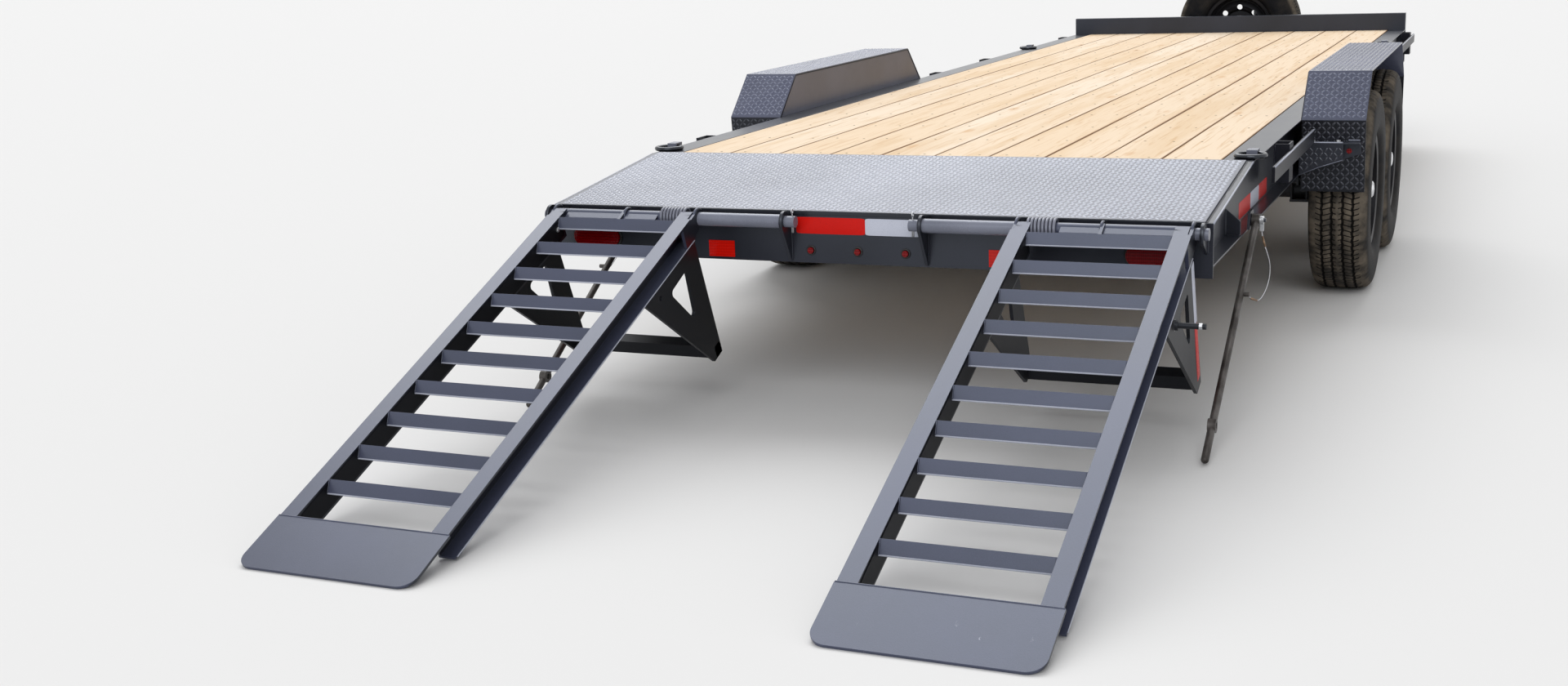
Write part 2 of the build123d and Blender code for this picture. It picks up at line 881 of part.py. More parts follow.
# Wheels
half_tyre = tyre_width / 2
half_tread = tread_width / 2
half_rim = rim_width / 2
bead_in = rim_r + bead_gap
well_x = half_rim * 0.5
ledge_x = half_rim * 0.75


def both_sides(points):
    """A profile drawn for its inboard half, continued to its mirror image."""
    return points + [(-x, r) for x, r in reversed(points)]


tyre_outline = both_sides(
    [
        (-half_rim + bead_edge, bead_in),
        (-half_rim + bead_edge, rim_r + rim_lip + 2),
        (-half_rim - 9, rim_r + 2 * rim_lip),
        (-half_tyre, rim_r + 0.45 * (tyre_r - rim_r)),
        (-half_tyre + 4, rim_r + 0.65 * (tyre_r - rim_r)),
        (-half_tread - 6, tyre_r - shoulder_drop),
        (-half_tread + 6, tyre_r - 4),
        (-half_tread + 34, tyre_r),
    ]
)
rim_outline = both_sides(
    [
        (-half_rim - 6, rim_r + rim_lip),
        (-half_rim, rim_r + rim_lip),
        (-half_rim + 2, rim_r + rim_lip / 4),
        (-ledge_x, rim_r + rim_lip / 4),
        (-well_x, rim_r - rim_well),
    ]
) + both_sides(
    [
        (well_x + 2, rim_r - rim_well - rim_t),
        (ledge_x + 2, rim_r - rim_t),
        (half_rim + 2, rim_r - rim_t),
    ][::-1]
)
disc_bore = cap_r + 2
disc_weld_r = rim_r - rim_well - rim_t
disc_outline = [
    (0, disc_bore),
    (0, disc_pad_r),
    (disc_crown * 0.75, disc_pad_r + 13),
    (disc_crown, disc_crown_r),
    (disc_crown * 0.4, disc_weld_r - disc_t),
    (disc_crown * 0.4, disc_weld_r + 1),
    (disc_crown * 0.2, disc_weld_r + 1),
    (disc_crown * 0.2, disc_weld_r - disc_t - 2),
    (disc_crown * 0.75, disc_crown_r - 2),
    (disc_crown * 0.5, disc_pad_r + 17),
    (-disc_t, disc_pad_r + 3),
    (-disc_t, disc_bore),
]


def wheel_disc(y, z):
    """Rim and disc about the X axis, outboard towards +X."""
    body = turned(rim_outline, 0, y, z, 1) + turned(disc_outline, 0, y, z, 1)
    for n in range(hand_hole_count):
        a = 2 * math.pi * n / hand_hole_count
        cy = y + hand_hole_pcr * math.cos(a)
        cz = z + hand_hole_pcr * math.sin(a)
        body -= bar_x(-disc_crown, 2 * disc_crown, cy, cz, hand_hole_r)
    return body


def wheel_hub(y, z):
    """Drum, hub, wheel nuts and cap, behind and through the disc."""
    bore = spindle_r + spindle_play
    hollow = spindle_past + hub_end_gap
    outline = [
        (-drum_width, drum_r),
        (-disc_t, drum_r),
        (-disc_t, cap_r),
        (cap_length - drum_wall, cap_r),
        (cap_length, cap_r - drum_wall),
        (cap_length, 0),
        (cap_length - drum_wall, 0),
        (cap_length - drum_wall, bore + drum_wall / 2),
        (hollow, bore + drum_wall / 2),
        (hollow, bore),
        (-drum_width + drum_wall, bore),
        (-drum_width + drum_wall, hub_r),
        (-disc_t - drum_wall, hub_r),
        (-disc_t - drum_wall, drum_r - drum_wall),
        (-drum_width, drum_r - drum_wall),
    ]
    parts = [turned(outline, 0, y, z, 1)]
    for n in range(stud_count):
        a = 2 * math.pi * (n + 0.5) / stud_count
        cy = y + stud_pcr * math.cos(a)
        cz = z + stud_pcr * math.sin(a)
        nut = extrude(RegularPolygon(wheel_nut_r, 6), amount=wheel_nut_length)
        parts.append(Pos(nut_gap, cy, cz) * Rot(0, 90, 0) * nut)
    return parts


flat_disc = wheel_disc(0, 0)
flat_tyre = turned(tyre_outline, 0, 0, 0, 1)
hub_pieces = wheel_hub(0, 0)
wheel_names = (("rear", wheel_stations[0]), ("front", wheel_stations[1]))
for name, y in wheel_names:
    for side, s in (("right", 1), ("left", -1)):
        place = Pos(s * wheel_x, y, tyre_r)
        turn = (lambda shape: shape) if s > 0 else mirrored
        save("tyre_" + name + "_" + side, place * turn(flat_tyre))
        save("rim_" + name + "_" + side, place * turn(flat_disc))
        save("hub_" + name + "_" + side, *[place * turn(p) for p in hub_pieces])

# Spare wheel, upright across the tongue, on a bracket behind the headboard
spare_place = Pos(0, spare_y, spare_z) * Rot(0, 0, -90)
save("spare_tyre", spare_place * flat_tyre)
save("spare_rim", spare_place * flat_disc)
plate_y = spare_y + disc_t
arm_y = plate_y + spare_plate_t
post_y = spare_y + tyre_width / 2 + spare_post_gap
post_end = post_y + spare_post_width
post_half = spare_post_width / 2
low_z = spare_z - spare_arm_half
high_z = spare_z + spare_arm_half
spare_plate = bar_y(0, plate_y, arm_y, spare_z, spare_plate_r)
spare_arm = box(-spare_arm_half, spare_arm_half, arm_y, post_y, low_z, high_z)
spare_post = box(-post_half, post_half, post_y, post_end, tongue_top, spare_z + spare_post_above)
beam_half = tongue_half_width(post_end) - tongue_t
spare_beam = box(-beam_half, beam_half, post_y, post_end, tongue_top, tongue_top + tongue_plate_t)
save("spare_bracket", fused([spare_plate, spare_arm, spare_post, spare_beam]))

# Fenders: a bent tread plate with a smooth inner side
slant = (fender_base - fender_top_length) / 2
skirt_bottom = deck_height - skirt_drop


def fender_line(offset):
    """Rear half of the tread plate's outline, moved in by an offset."""
    return [
        (fender_rear + skirt_inset + offset, skirt_bottom),
        (fender_rear + offset, deck_height + 0.4 * offset),
        (fender_rear + slant + 0.45 * offset, fender_top - offset),
    ]


def both_halves(points):
    return points + [(2 * tandem_y - y, z) for y, z in reversed(points)]


tread_outline = both_halves(fender_line(0)) + list(reversed(both_halves(fender_line(fender_t))))
side_outline = both_halves(fender_line(fender_t)[1:])
side_low = deck_height - fender_side_drop
side_outline = [(fender_rear + 2 * fender_t, side_low)] + side_outline
side_outline = side_outline + [(fender_front - 2 * fender_t, side_low)]
tread_cover = side_plate(tread_outline, half_width + seat_gap, fender_x)
side_cover = side_plate(side_outline, half_width + seat_gap, half_width + seat_gap + fender_t)
right_fender = tread_cover + side_cover
save("fender_right", right_fender)
save("fender_left", mirrored(right_fender))


# Fender brackets: a gusset with a shelf, at both ends of each fender
def fender_bracket(direction):
    end = fender_rear if direction > 0 else fender_front
    front = end + direction * bracket_step
    tip_x = fender_x - bracket_inset
    gusset = cross_plate(
        [
            (half_width, bracket_top),
            (tip_x, bracket_top),
            (tip_x, bracket_top - bracket_tip),
            (half_width + bracket_knee, bracket_top - bracket_height),
            (half_width, bracket_top - bracket_root),
        ],
        front,
        front - direction * bracket_t,
    )
    shelf = box(half_width, tip_x, front, front - direction * bracket_shelf, bracket_top - bracket_t, bracket_top)
    return fused([gusset, shelf])


bracket_top = deck_height - bracket_drop
brackets = [fender_bracket(1), fender_bracket(-1)]
save("fender_brackets", *brackets, *[mirrored(b) for b in brackets])


# Hinge ears, shafts and spacer pipes for the ramps
def hinge_ear(x, low):
    outline = [
        (0, tail_z - lip_drop - ear_lip_gap),
        (-plate_t - 1, tail_z - lip_drop - ear_lip_gap),
        (hinge_y, hinge_z + ear_r),
        (hinge_y - ear_r, hinge_z),
        (hinge_y - ear_r * 0.7, hinge_z - ear_r * 0.75),
        (-ear_foot, low),
        (0, low),
    ]
    plate = side_plate(outline, x - ear_t / 2, x + ear_t / 2)
    plate = plate + bar_x(x - ear_t / 2, x + ear_t / 2, hinge_y, hinge_z, ear_r)
    return plate - bar_x(x - ear_t, x + ear_t, hinge_y, hinge_z, shaft_r + hinge_play)


ears = [hinge_ear(inner_ear_x, tail_bottom + inner_ear_rise), hinge_ear(outer_ear_x, tail_bottom + outer_ear_rise)]
save("hinge_ears", *ears, *[mirrored(e) for e in ears])
shaft = bar_x(inner_ear_x - shaft_inner_end, outer_ear_x + shaft_end, hinge_y, hinge_z, shaft_r)
ramp_in = ramp_x - ramp_width / 2
ramp_out = ramp_x + ramp_width / 2
spacer = bar_x(inner_ear_x + ear_t / 2, ramp_in - collar_play, hinge_y, hinge_z, pipe_r)
spacer -= bar_x(0, ramp_in, hinge_y, hinge_z, shaft_r + hinge_play)
save("hinge_shafts", shaft, spacer, mirrored(shaft), mirrored(spacer))


# Ramps, drawn flat: x across the trailer, y = -u, z = v
def ramp_place():
    return Pos(0, hinge_y, hinge_z) * Rot(ramp_angle, 0, 0)


def ramp_rail(x_web, x_flange):
    outline = [
        (x_web, ramp_top_v),
        (x_flange, ramp_top_v),
        (x_flange, ramp_top_v - ramp_rail_t),
        (x_web + math.copysign(ramp_rail_t, x_flange - x_web), ramp_top_v - ramp_rail_t),
        (x_web + math.copysign(ramp_rail_t, x_flange - x_web), rail_bottom_v + ramp_rail_t),
        (x_flange, rail_bottom_v + ramp_rail_t),
        (x_flange, rail_bottom_v),
        (x_web, rail_bottom_v),
    ]
    return cross_plate(outline, -ramp_rail_start, -ramp_rail_end)


def rung(u):
    """Angle section, corner up, its two legs sloping away along the ramp."""
    leg = rung_leg * math.sqrt(0.5)
    skin = rung_t * math.sqrt(2.0)
    outline = [
        (-u, ramp_top_v),
        (-u - leg, ramp_top_v - leg),
        (-u - leg + skin / 2, ramp_top_v - leg - skin / 2),
        (-u, ramp_top_v - skin),
        (-u + leg - skin / 2, ramp_top_v - leg - skin / 2),
        (-u + leg, ramp_top_v - leg),
    ]
    return side_plate(outline, ramp_in + ramp_rail_flange, ramp_out - ramp_rail_flange)


def ramp_ear(x):
    outline = [
        (ear_r * 0.55, -ear_r * 0.55),
        (ear_r * 0.55, ear_r * 0.55),
        (0, ramp_top_v - ramp_rail_t / 2),
        (-ramp_rail_start - ramp_ear_length, ramp_top_v - ramp_rail_t),
        (-ramp_rail_start - ramp_ear_length, rail_bottom_v + ramp_rail_t),
        (-ramp_rail_start, rail_bottom_v + ramp_rail_t),
    ]
    plate = side_plate(outline, x - ramp_ear_t / 2, x + ramp_ear_t / 2)
    return plate + bar_x(x - ramp_ear_t / 2, x + ramp_ear_t / 2, 0, 0, ramp_ear_r)


def ramp_frame():
    web_in = ramp_in + ramp_rail_flange
    web_out = ramp_out - ramp_rail_flange
    parts = [ramp_rail(web_in, ramp_in), ramp_rail(web_out, ramp_out)]
    parts += [rung(rung_start + n * rung_pitch) for n in range(rung_count)]
    toe = box(
        ramp_in - toe_overhang,
        ramp_out + toe_overhang,
        -toe_end,
        -toe_start,
        ramp_top_v - toe_t,
        ramp_top_v,
    )
    corners = toe.edges().filter_by(Axis.Z).group_by(Axis.Y)[0]
    toe = fillet(corners, toe_corner)
    rail_top_cut = box(ramp_in, ramp_out, -ramp_rail_end - 1, -toe_start, ramp_top_v - toe_t, ramp_top_v)
    parts[0] -= rail_top_cut
    parts[1] -= rail_top_cut
    parts.append(toe)
    parts.append(bar_x(ramp_in, ramp_out, 0, 0, pipe_r))
    parts += [ramp_ear(ramp_in + ramp_ear_t / 2), ramp_ear(ramp_out - ramp_ear_t / 2)]
    middle = side_plate(
        [
            (pipe_r, 0),
            (0, pipe_r + rung_t),
            (-rung_start - rung_t, ramp_top_v - 2 * rung_t),
            (-rung_start, ramp_top_v - rung_leg / math.sqrt(2.0)),
            (0, -pipe_r),
        ],
        ramp_x - ramp_ear_t / 2,
        ramp_x + ramp_ear_t / 2,
    )
    parts.append(middle)
    body = fused(parts)
    return body - bar_x(ramp_in - 1, ramp_out + 1, 0, 0, shaft_r + hinge_play)


def ramp_knee(x0, x1):
    """Support plate under one rail, with a rounded window and the stud's hole."""
    outline = [
        (-knee_top_u, rail_bottom_v),
        (-knee_heel_u, rail_bottom_v),
        (-knee_foot_u - knee_foot_length, knee_foot_v),
        (-knee_foot_u, knee_foot_v),
    ]
    plate = side_plate(outline, x0, x1)
    window = side_plate(
        [(-u, rail_bottom_v - down) for u, down in knee_window],
        x0 - 1,
        x1 + 1,
    )
    window = fillet(window.edges().filter_by(Axis.X), window_corner)
    hole = bar_x(x0 - 1, x1 + 1, -stud_u, stud_v, stud_r)
    return plate - window - hole


def ramp_knees():
    inner = ramp_knee(ramp_in, ramp_in + knee_t)
    outer = ramp_knee(ramp_out - knee_t, ramp_out)
    v0 = knee_foot_v
    y0 = -knee_foot_u
    tube = box(ramp_in + knee_t, ramp_out - knee_t, y0 - foot_tube, y0, v0, v0 + foot_tube)
    tube -= box(
        ramp_in,
        ramp_out,
        y0 - foot_tube + foot_wall,
        y0 - foot_wall,
        v0 + foot_wall,
        v0 + foot_tube - foot_wall,
    )
    return fused([inner, outer, tube])


def ramp_stud():
    plate_in = ramp_out - knee_t
    shank = bar_x(plate_in - stud_nut_t - stud_r / 4, stud_end_x, -stud_u, stud_v, stud_r)
    nut = bar_x(plate_in - stud_nut_t, plate_in, -stud_u, stud_v, stud_nut_r)
    collar = bar_x(ramp_out, ramp_out + stud_nut_t, -stud_u, stud_v, stud_nut_r)
    return fused([shank, nut, collar])


def torsion_spring():
    """Coils close together, as one ribbed sleeve round the ramp's pipe."""
    start = ramp_in + ramp_ear_t + spring_gap
    low = pipe_r + seat_gap
    high = spring_coil_r + spring_wire_r
    outline = [(start, low)]
    for n in range(spring_turns):
        x = start + n * spring_pitch
        outline.append((x, high - spring_wire_r))
        outline.append((x + 0.3 * spring_pitch, high))
        outline.append((x + 0.6 * spring_pitch, high))
        outline.append((x + 0.9 * spring_pitch, high - spring_wire_r))
    outline.append((start + spring_turns * spring_pitch, low))
    return revolve(Plane.XY * Polygon(*outline, align=None), axis=Axis.X)


place = ramp_place()
ramp_right = place * ramp_frame()
knees_right = place * fused([ramp_knees(), ramp_stud()])
spring_right = place * torsion_spring()
for side, turn in (("right", lambda shape: shape), ("left", mirrored)):
    save("ramp_" + side, turn(ramp_right))
    save("ramp_knees_" + side, turn(knees_right))
    save("ramp_spring_" + side, turn(spring_right))

# Ramp braces, drawn level with the pivot at the origin and the free end towards -Y
brace_drop = brace_z - brace_r - seat_gap
brace_angle = math.degrees(math.asin(brace_drop / brace_length))
stud_up_y = hinge_y + stud_v
stud_up_z = hinge_z + stud_u
eye_reach = math.hypot(brace_y - stud_up_y, stud_up_z - brace_z)
brace_upright = math.degrees(math.atan2(stud_up_z - brace_z, brace_y - stud_up_y))


def brace_arm():
    lug0 = brace_x - brace_lug_t / 2
    lug1 = brace_x + brace_lug_t / 2
    tube = bar_y(brace_x, -brace_length + brace_r, -brace_lug_r / 2, 0, brace_r)
    tip = Pos(brace_x, -brace_length + brace_r, 0) * Sphere(brace_r)
    top_lug = bar_x(lug0, lug1, 0, 0, brace_lug_r)
    eye = bar_x(lug0, lug1, -eye_reach, 0, brace_lug_r)
    body = fused([tube, tip, top_lug, eye])
    body -= bar_x(lug0 - 1, lug1 + 1, 0, 0, brace_pin_r + brace_pin_play)
    body -= bar_x(lug0 - 1, lug1 + 1, -eye_reach, 0, stud_r + stud_play)
    return body


brace_place = Pos(0, brace_y, brace_z) * Rot(brace_angle, 0, 0)
tether_bolt = bar_x(brace_x, brace_x + brace_r + tether_bolt_length, -tether_station, 0, tether_bolt_r)
arm_right = brace_place * (brace_arm() + tether_bolt)

# The brace's pivot: a plate hung from the beam's flange, with a fixed pin
pivot_plate = side_plate(
    [
        (brace_y - pivot_length / 2, beam_bottom + beam_flange_t),
        (brace_y + pivot_length / 2, beam_bottom + beam_flange_t),
        (brace_y + pivot_length / 3, brace_z + pivot_length / 3),
        (brace_y - pivot_length / 3, brace_z + pivot_length / 3),
    ],
    half_width,
    half_width + brace_lug_plate,
)
lug_face = brace_x + brace_lug_t / 2
pin_end = lug_face + pin_past_lug
pivot_pin = bar_x(half_width + brace_lug_plate, pin_end, brace_y, brace_z, brace_pin_r)
collar_end = brace_x - brace_lug_t / 2 - pivot_collar_gap
pivot_collar = bar_x(half_width + brace_lug_plate, collar_end, brace_y, brace_z, pivot_collar_r)
pivot = fused([pivot_plate, pivot_pin, pivot_collar])
clip_in = lug_face + seat_gap
clip_out = clip_in + clip_t
clip = bar_x(clip_in, clip_out, brace_y, brace_z, clip_r)
clip += box(clip_in, clip_out, brace_y - clip_width / 2, brace_y + clip_width / 2, brace_z - clip_tail, brace_z)
clip -= bar_x(clip_in - 1, clip_out + 1, brace_y, brace_z, brace_pin_r + brace_pin_play)

# Lanyard wire from the lynch pin to the brace's bolt: offsets from the pivot in X, Y, Z
wire_start_x = lug_face + clip_t / 2
bolt_y = -tether_station * math.cos(math.radians(brace_angle))
bolt_z = -tether_station * math.sin(math.radians(brace_angle))
wire_route = [
    (wire_start_x, brace_y, brace_z - 34.4),
    (wire_start_x + 6, brace_y - 4, brace_z - 66),
    (wire_start_x + 20, brace_y - 16, brace_z - 98),
    (wire_start_x + 33, brace_y - 40, brace_z - 128),
    (wire_start_x + 38, brace_y - 76, brace_z - 156),
    (wire_start_x + 38, brace_y - 118, brace_z - 180),
    (wire_start_x + 34, brace_y - 162, brace_z - 198),
    (wire_start_x + 28, brace_y - 206, brace_z - 208),
    (wire_start_x + 16, brace_y - 245, brace_z - 203),
    (wire_start_x + 4, brace_y + bolt_y + 6.2, brace_z + bolt_z - 4.8),
]


def fillet_radii(route):
    """Largest arc that both neighbouring runs allow at each inner point."""
    points = [Vector(*p) for p in route]
    radii = []
    for a, b, c in zip(points, points[1:], points[2:]):
        turn = (b - a).get_angle(c - b)
        run = min((b - a).length, (c - b).length)
        radii.append(0.45 * run / math.tan(math.radians(turn / 2)))
    return radii


radii = fillet_radii(wire_route)
print("wire radii", [round(r, 1) for r in radii])
wire_path = FilletPolyline(*wire_route, radius=radii)
wire_face = Plane(origin=wire_path @ 0, z_dir=wire_path % 0) * Circle(wire_r)
wire = sweep(wire_face, path=wire_path)
wire_share = wire.volume / (math.pi * wire_r**2 * wire_path.length)
print("wire length", round(wire_path.length, 1), "volume share", round(wire_share, 4))

for side, turn in (("right", lambda shape: shape), ("left", mirrored)):
    save("brace_arm_" + side, turn(arm_right))
    save("lynch_pin_" + side, turn(clip))
    save("lanyard_" + side, turn(wire))
save("brace_pivots", pivot, mirrored(pivot))

# Jack: a square sleeve through its plate, a sliding leg with a foot, and a crank
half_outer = jack_outer / 2
half_inner = jack_outer / 2 - jack_wall - jack_play
sleeve = box(-half_outer, half_outer, jack_y - half_outer, jack_y + half_outer, jack_bottom, jack_top)
sleeve -= box(
    -half_outer + jack_wall,
    half_outer - jack_wall,
    jack_y - half_outer + jack_wall,
    jack_y + half_outer - jack_wall,
    jack_bottom,
    jack_top - jack_wall,
)
crank_x = -half_outer - jack_gear_width
gear_y = jack_gear_length / 2
gear_z = jack_gear_height / 2
gearbox = box(crank_x, -half_outer, jack_y - gear_y, jack_y + gear_y, crank_z - gear_z, crank_z + gear_z)
weld_z = tongue_top + tongue_plate_t
weld_half = jack_ring_width / 2
weld_ring = box(-weld_half, weld_half, jack_y - weld_half, jack_y + weld_half, weld_z, weld_z + jack_ring_t)
weld_ring -= box(-half_outer, half_outer, jack_y - half_outer, jack_y + half_outer, 0, jack_top)
save("jack_sleeve", fused([sleeve, gearbox, weld_ring]))
arm_x = crank_x - crank_shaft_length
arm_end = arm_x + crank_arm_t
grip_z = crank_z - crank_arm_length + crank_arm_t
crank_half = crank_arm_width / 2
crank = fused(
    [
        bar_x(arm_x, crank_x, jack_y, crank_z, crank_shaft_r),
        box(arm_x, arm_end, jack_y - crank_half, jack_y + crank_half, crank_z - crank_arm_length, crank_z),
        bar_x(arm_end - crank_grip_length, arm_end, jack_y, grip_z, crank_grip_r),
    ]
)
save("jack_crank", crank)
leg_top = jack_bottom + jack_overlap
leg_bore = half_inner - jack_leg_wall
leg = box(-half_inner, half_inner, jack_y - half_inner, jack_y + half_inner, jack_foot_t, leg_top)
leg -= box(-leg_bore, leg_bore, jack_y - leg_bore, jack_y + leg_bore, jack_foot_t + jack_leg_wall, leg_top)
foot_half = jack_foot / 2
foot = box(-foot_half, foot_half, jack_y - foot_half, jack_y + foot_half, 0, jack_foot_t)
save("jack_leg", fused([leg, foot]))

# Tie-down rings lying on the beams' flanges, each held by a strap over its front side
rings = []
straps = []
ring_z = deck_height + ring_wire_r
strap_top = ring_z + ring_wire_r + strap_t
strap_x0 = ring_x - strap_length / 2
strap_x1 = ring_x + strap_length / 2
cave_half = strap_width / 2
strap_half = cave_half + strap_foot
for y in ring_stations:
    rings.append(Pos(ring_x, y, ring_z) * Torus(ring_half, ring_wire_r))
    strap_y = y + ring_half
    strap = box(strap_x0, strap_x1, strap_y - strap_half, strap_y + strap_half, deck_height, strap_top)
    cave_top = strap_top - strap_t + seat_gap
    cave = box(strap_x0 - 1, strap_x1 + 1, strap_y - cave_half, strap_y + cave_half, deck_height, cave_top)
    straps.append(strap - cave)
save("tie_rings", *rings, *[mirrored(r) for r in rings])
save("ring_straps", *straps, *[mirrored(s) for s in straps])

# Lamps and reflectors on the bumper, and marker lamps on the rear fender brackets
lamp_body = extrude(SlotOverall(oval_lamp_length, oval_lamp_height), amount=lamp_t)
oval_lamp_x = half_width - oval_lamp_inset
tail_lamp = Pos(oval_lamp_x, 0, tail_z - oval_lamp_drop) * Rot(90, 0, 0) * lamp_body
save("tail_lamps", tail_lamp, mirrored(tail_lamp))
markers = [bar_y(n * marker_pitch, -marker_t, 0, tail_z - marker_drop, marker_r) for n in (-1, 0, 1)]
bracket_face = fender_rear + bracket_step - bracket_t
side_marker_x = fender_x - bracket_inset - side_marker_inset
side_marker_z = bracket_top - side_marker_drop
side_marker = bar_y(side_marker_x, bracket_face - marker_t, bracket_face, side_marker_z, marker_r)
reflector_low = tail_bottom + reflector_rise
reflector_in = reflector_x - reflector_width / 2
reflector_out = reflector_x + reflector_width / 2
reflector = box(reflector_in, reflector_out, -reflector_t, 0, reflector_low, reflector_low + reflector_height)
save("rear_markers", reflector, mirrored(reflector), *markers, side_marker, mirrored(side_marker))

print("ramp angle", round(ramp_angle, 3), "centre y", round(centre_y, 3), "rear", round(rear_y, 2))
print("brace angle", round(brace_angle, 3), "brace up", round(brace_upright, 3), "eye reach", round(eye_reach, 2))
print("ball", 0, round(ball_y - centre_y, 3), ball_z, "nodes", len(os.listdir("parts")))
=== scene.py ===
import math

import bmesh
import bpy
import numpy as np
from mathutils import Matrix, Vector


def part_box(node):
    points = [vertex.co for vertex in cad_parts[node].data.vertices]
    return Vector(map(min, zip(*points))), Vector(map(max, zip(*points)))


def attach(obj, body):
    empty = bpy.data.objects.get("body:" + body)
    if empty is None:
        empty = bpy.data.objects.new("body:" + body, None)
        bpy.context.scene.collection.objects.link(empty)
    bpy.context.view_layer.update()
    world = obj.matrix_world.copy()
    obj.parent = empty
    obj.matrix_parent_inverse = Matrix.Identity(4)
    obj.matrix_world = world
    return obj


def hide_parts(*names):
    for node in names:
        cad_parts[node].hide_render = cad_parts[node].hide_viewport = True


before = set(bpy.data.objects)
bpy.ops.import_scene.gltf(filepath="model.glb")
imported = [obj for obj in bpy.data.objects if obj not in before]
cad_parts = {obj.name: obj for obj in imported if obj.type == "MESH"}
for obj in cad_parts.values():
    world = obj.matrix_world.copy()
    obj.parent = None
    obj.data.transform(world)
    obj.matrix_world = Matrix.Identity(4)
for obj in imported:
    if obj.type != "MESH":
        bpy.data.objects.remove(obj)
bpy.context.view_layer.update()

# The view: from behind the trailer's right-hand corner and 1.46 m up, looking along the deck
# towards the tongue, as the photograph does. One camera, no depth of field.
image_width = 1920
sensor = 36.0
focal_px = 2108.2
above_axis_px = 9.58
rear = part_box("rear_bumper")[0].y
eye_at = (1.8635, rear - 4.7661, 1.4639)
yaw, pitch, roll = -0.4184, -0.2293, -0.0414

ahead = np.array([math.sin(yaw), math.cos(yaw), 0.0])
right = np.array([math.cos(yaw), -math.sin(yaw), 0.0])
upright = np.array([0.0, 0.0, 1.0])
look = ahead * math.cos(pitch) + upright * math.sin(pitch)
top = upright * math.cos(pitch) - ahead * math.sin(pitch)
across = right * math.cos(roll) + top * math.sin(roll)
top = top * math.cos(roll) - right * math.sin(roll)
camera = bpy.data.objects.new("view", bpy.data.cameras.new("view"))
camera.data.sensor_width = sensor
camera.data.lens = focal_px * sensor / image_width
camera.data.shift_y = -above_axis_px / image_width
camera.data.clip_end = 200.0
placing = np.eye(4)
placing[:3, :] = np.column_stack([across, top, -look, eye_at])
camera.matrix_world = placing.T.tolist()
bpy.context.scene.collection.objects.link(camera)
bpy.context.scene.camera = camera

# Brace lanyards: thin galvanised wire, one on each side, from the lynch pin's ring to the bolt a
# third of the way down the brace. It is springy and stands off in one hanging loop.
wire_thick = 0.0032
wire_hook = (1.09235, rear + 0.640, 0.540)
wire_steps = [
    (0.0, 0.0, -0.0344),
    (0.006, -0.004, -0.066),
    (0.020, -0.016, -0.098),
    (0.033, -0.040, -0.128),
    (0.038, -0.076, -0.156),
    (0.038, -0.118, -0.180),
    (0.034, -0.162, -0.198),
    (0.028, -0.206, -0.208),
    (0.016, -0.245, -0.203),
    (0.004, -0.27644, -0.18086),
]
wire_route = np.array(wire_hook) + wire_steps
hands = (("right", 1), ("left", -1))


class Value:
    """A number, vector or colour inside a finish. Arithmetic on numbers adds Math nodes."""

    def __init__(self, finish, socket):
        self.finish = finish
        self.socket = socket

    def __add__(self, other):
        return self.finish.math("ADD", self, other)

    def __sub__(self, other):
        return self.finish.math("SUBTRACT", self, other)

    def __rsub__(self, other):
        return self.finish.math("SUBTRACT", other, self)

    def __mul__(self, other):
        return self.finish.math("MULTIPLY", self, other)

    def __truediv__(self, other):
        return self.finish.math("DIVIDE", self, other)

    def __rtruediv__(self, other):
        return self.finish.math("DIVIDE", other, self)

    def __gt__(self, other):
        return self.finish.math("GREATER_THAN", self, other)

    def __lt__(self, other):
        return self.finish.math("LESS_THAN", self, other)

    __radd__ = __add__
    __rmul__ = __mul__


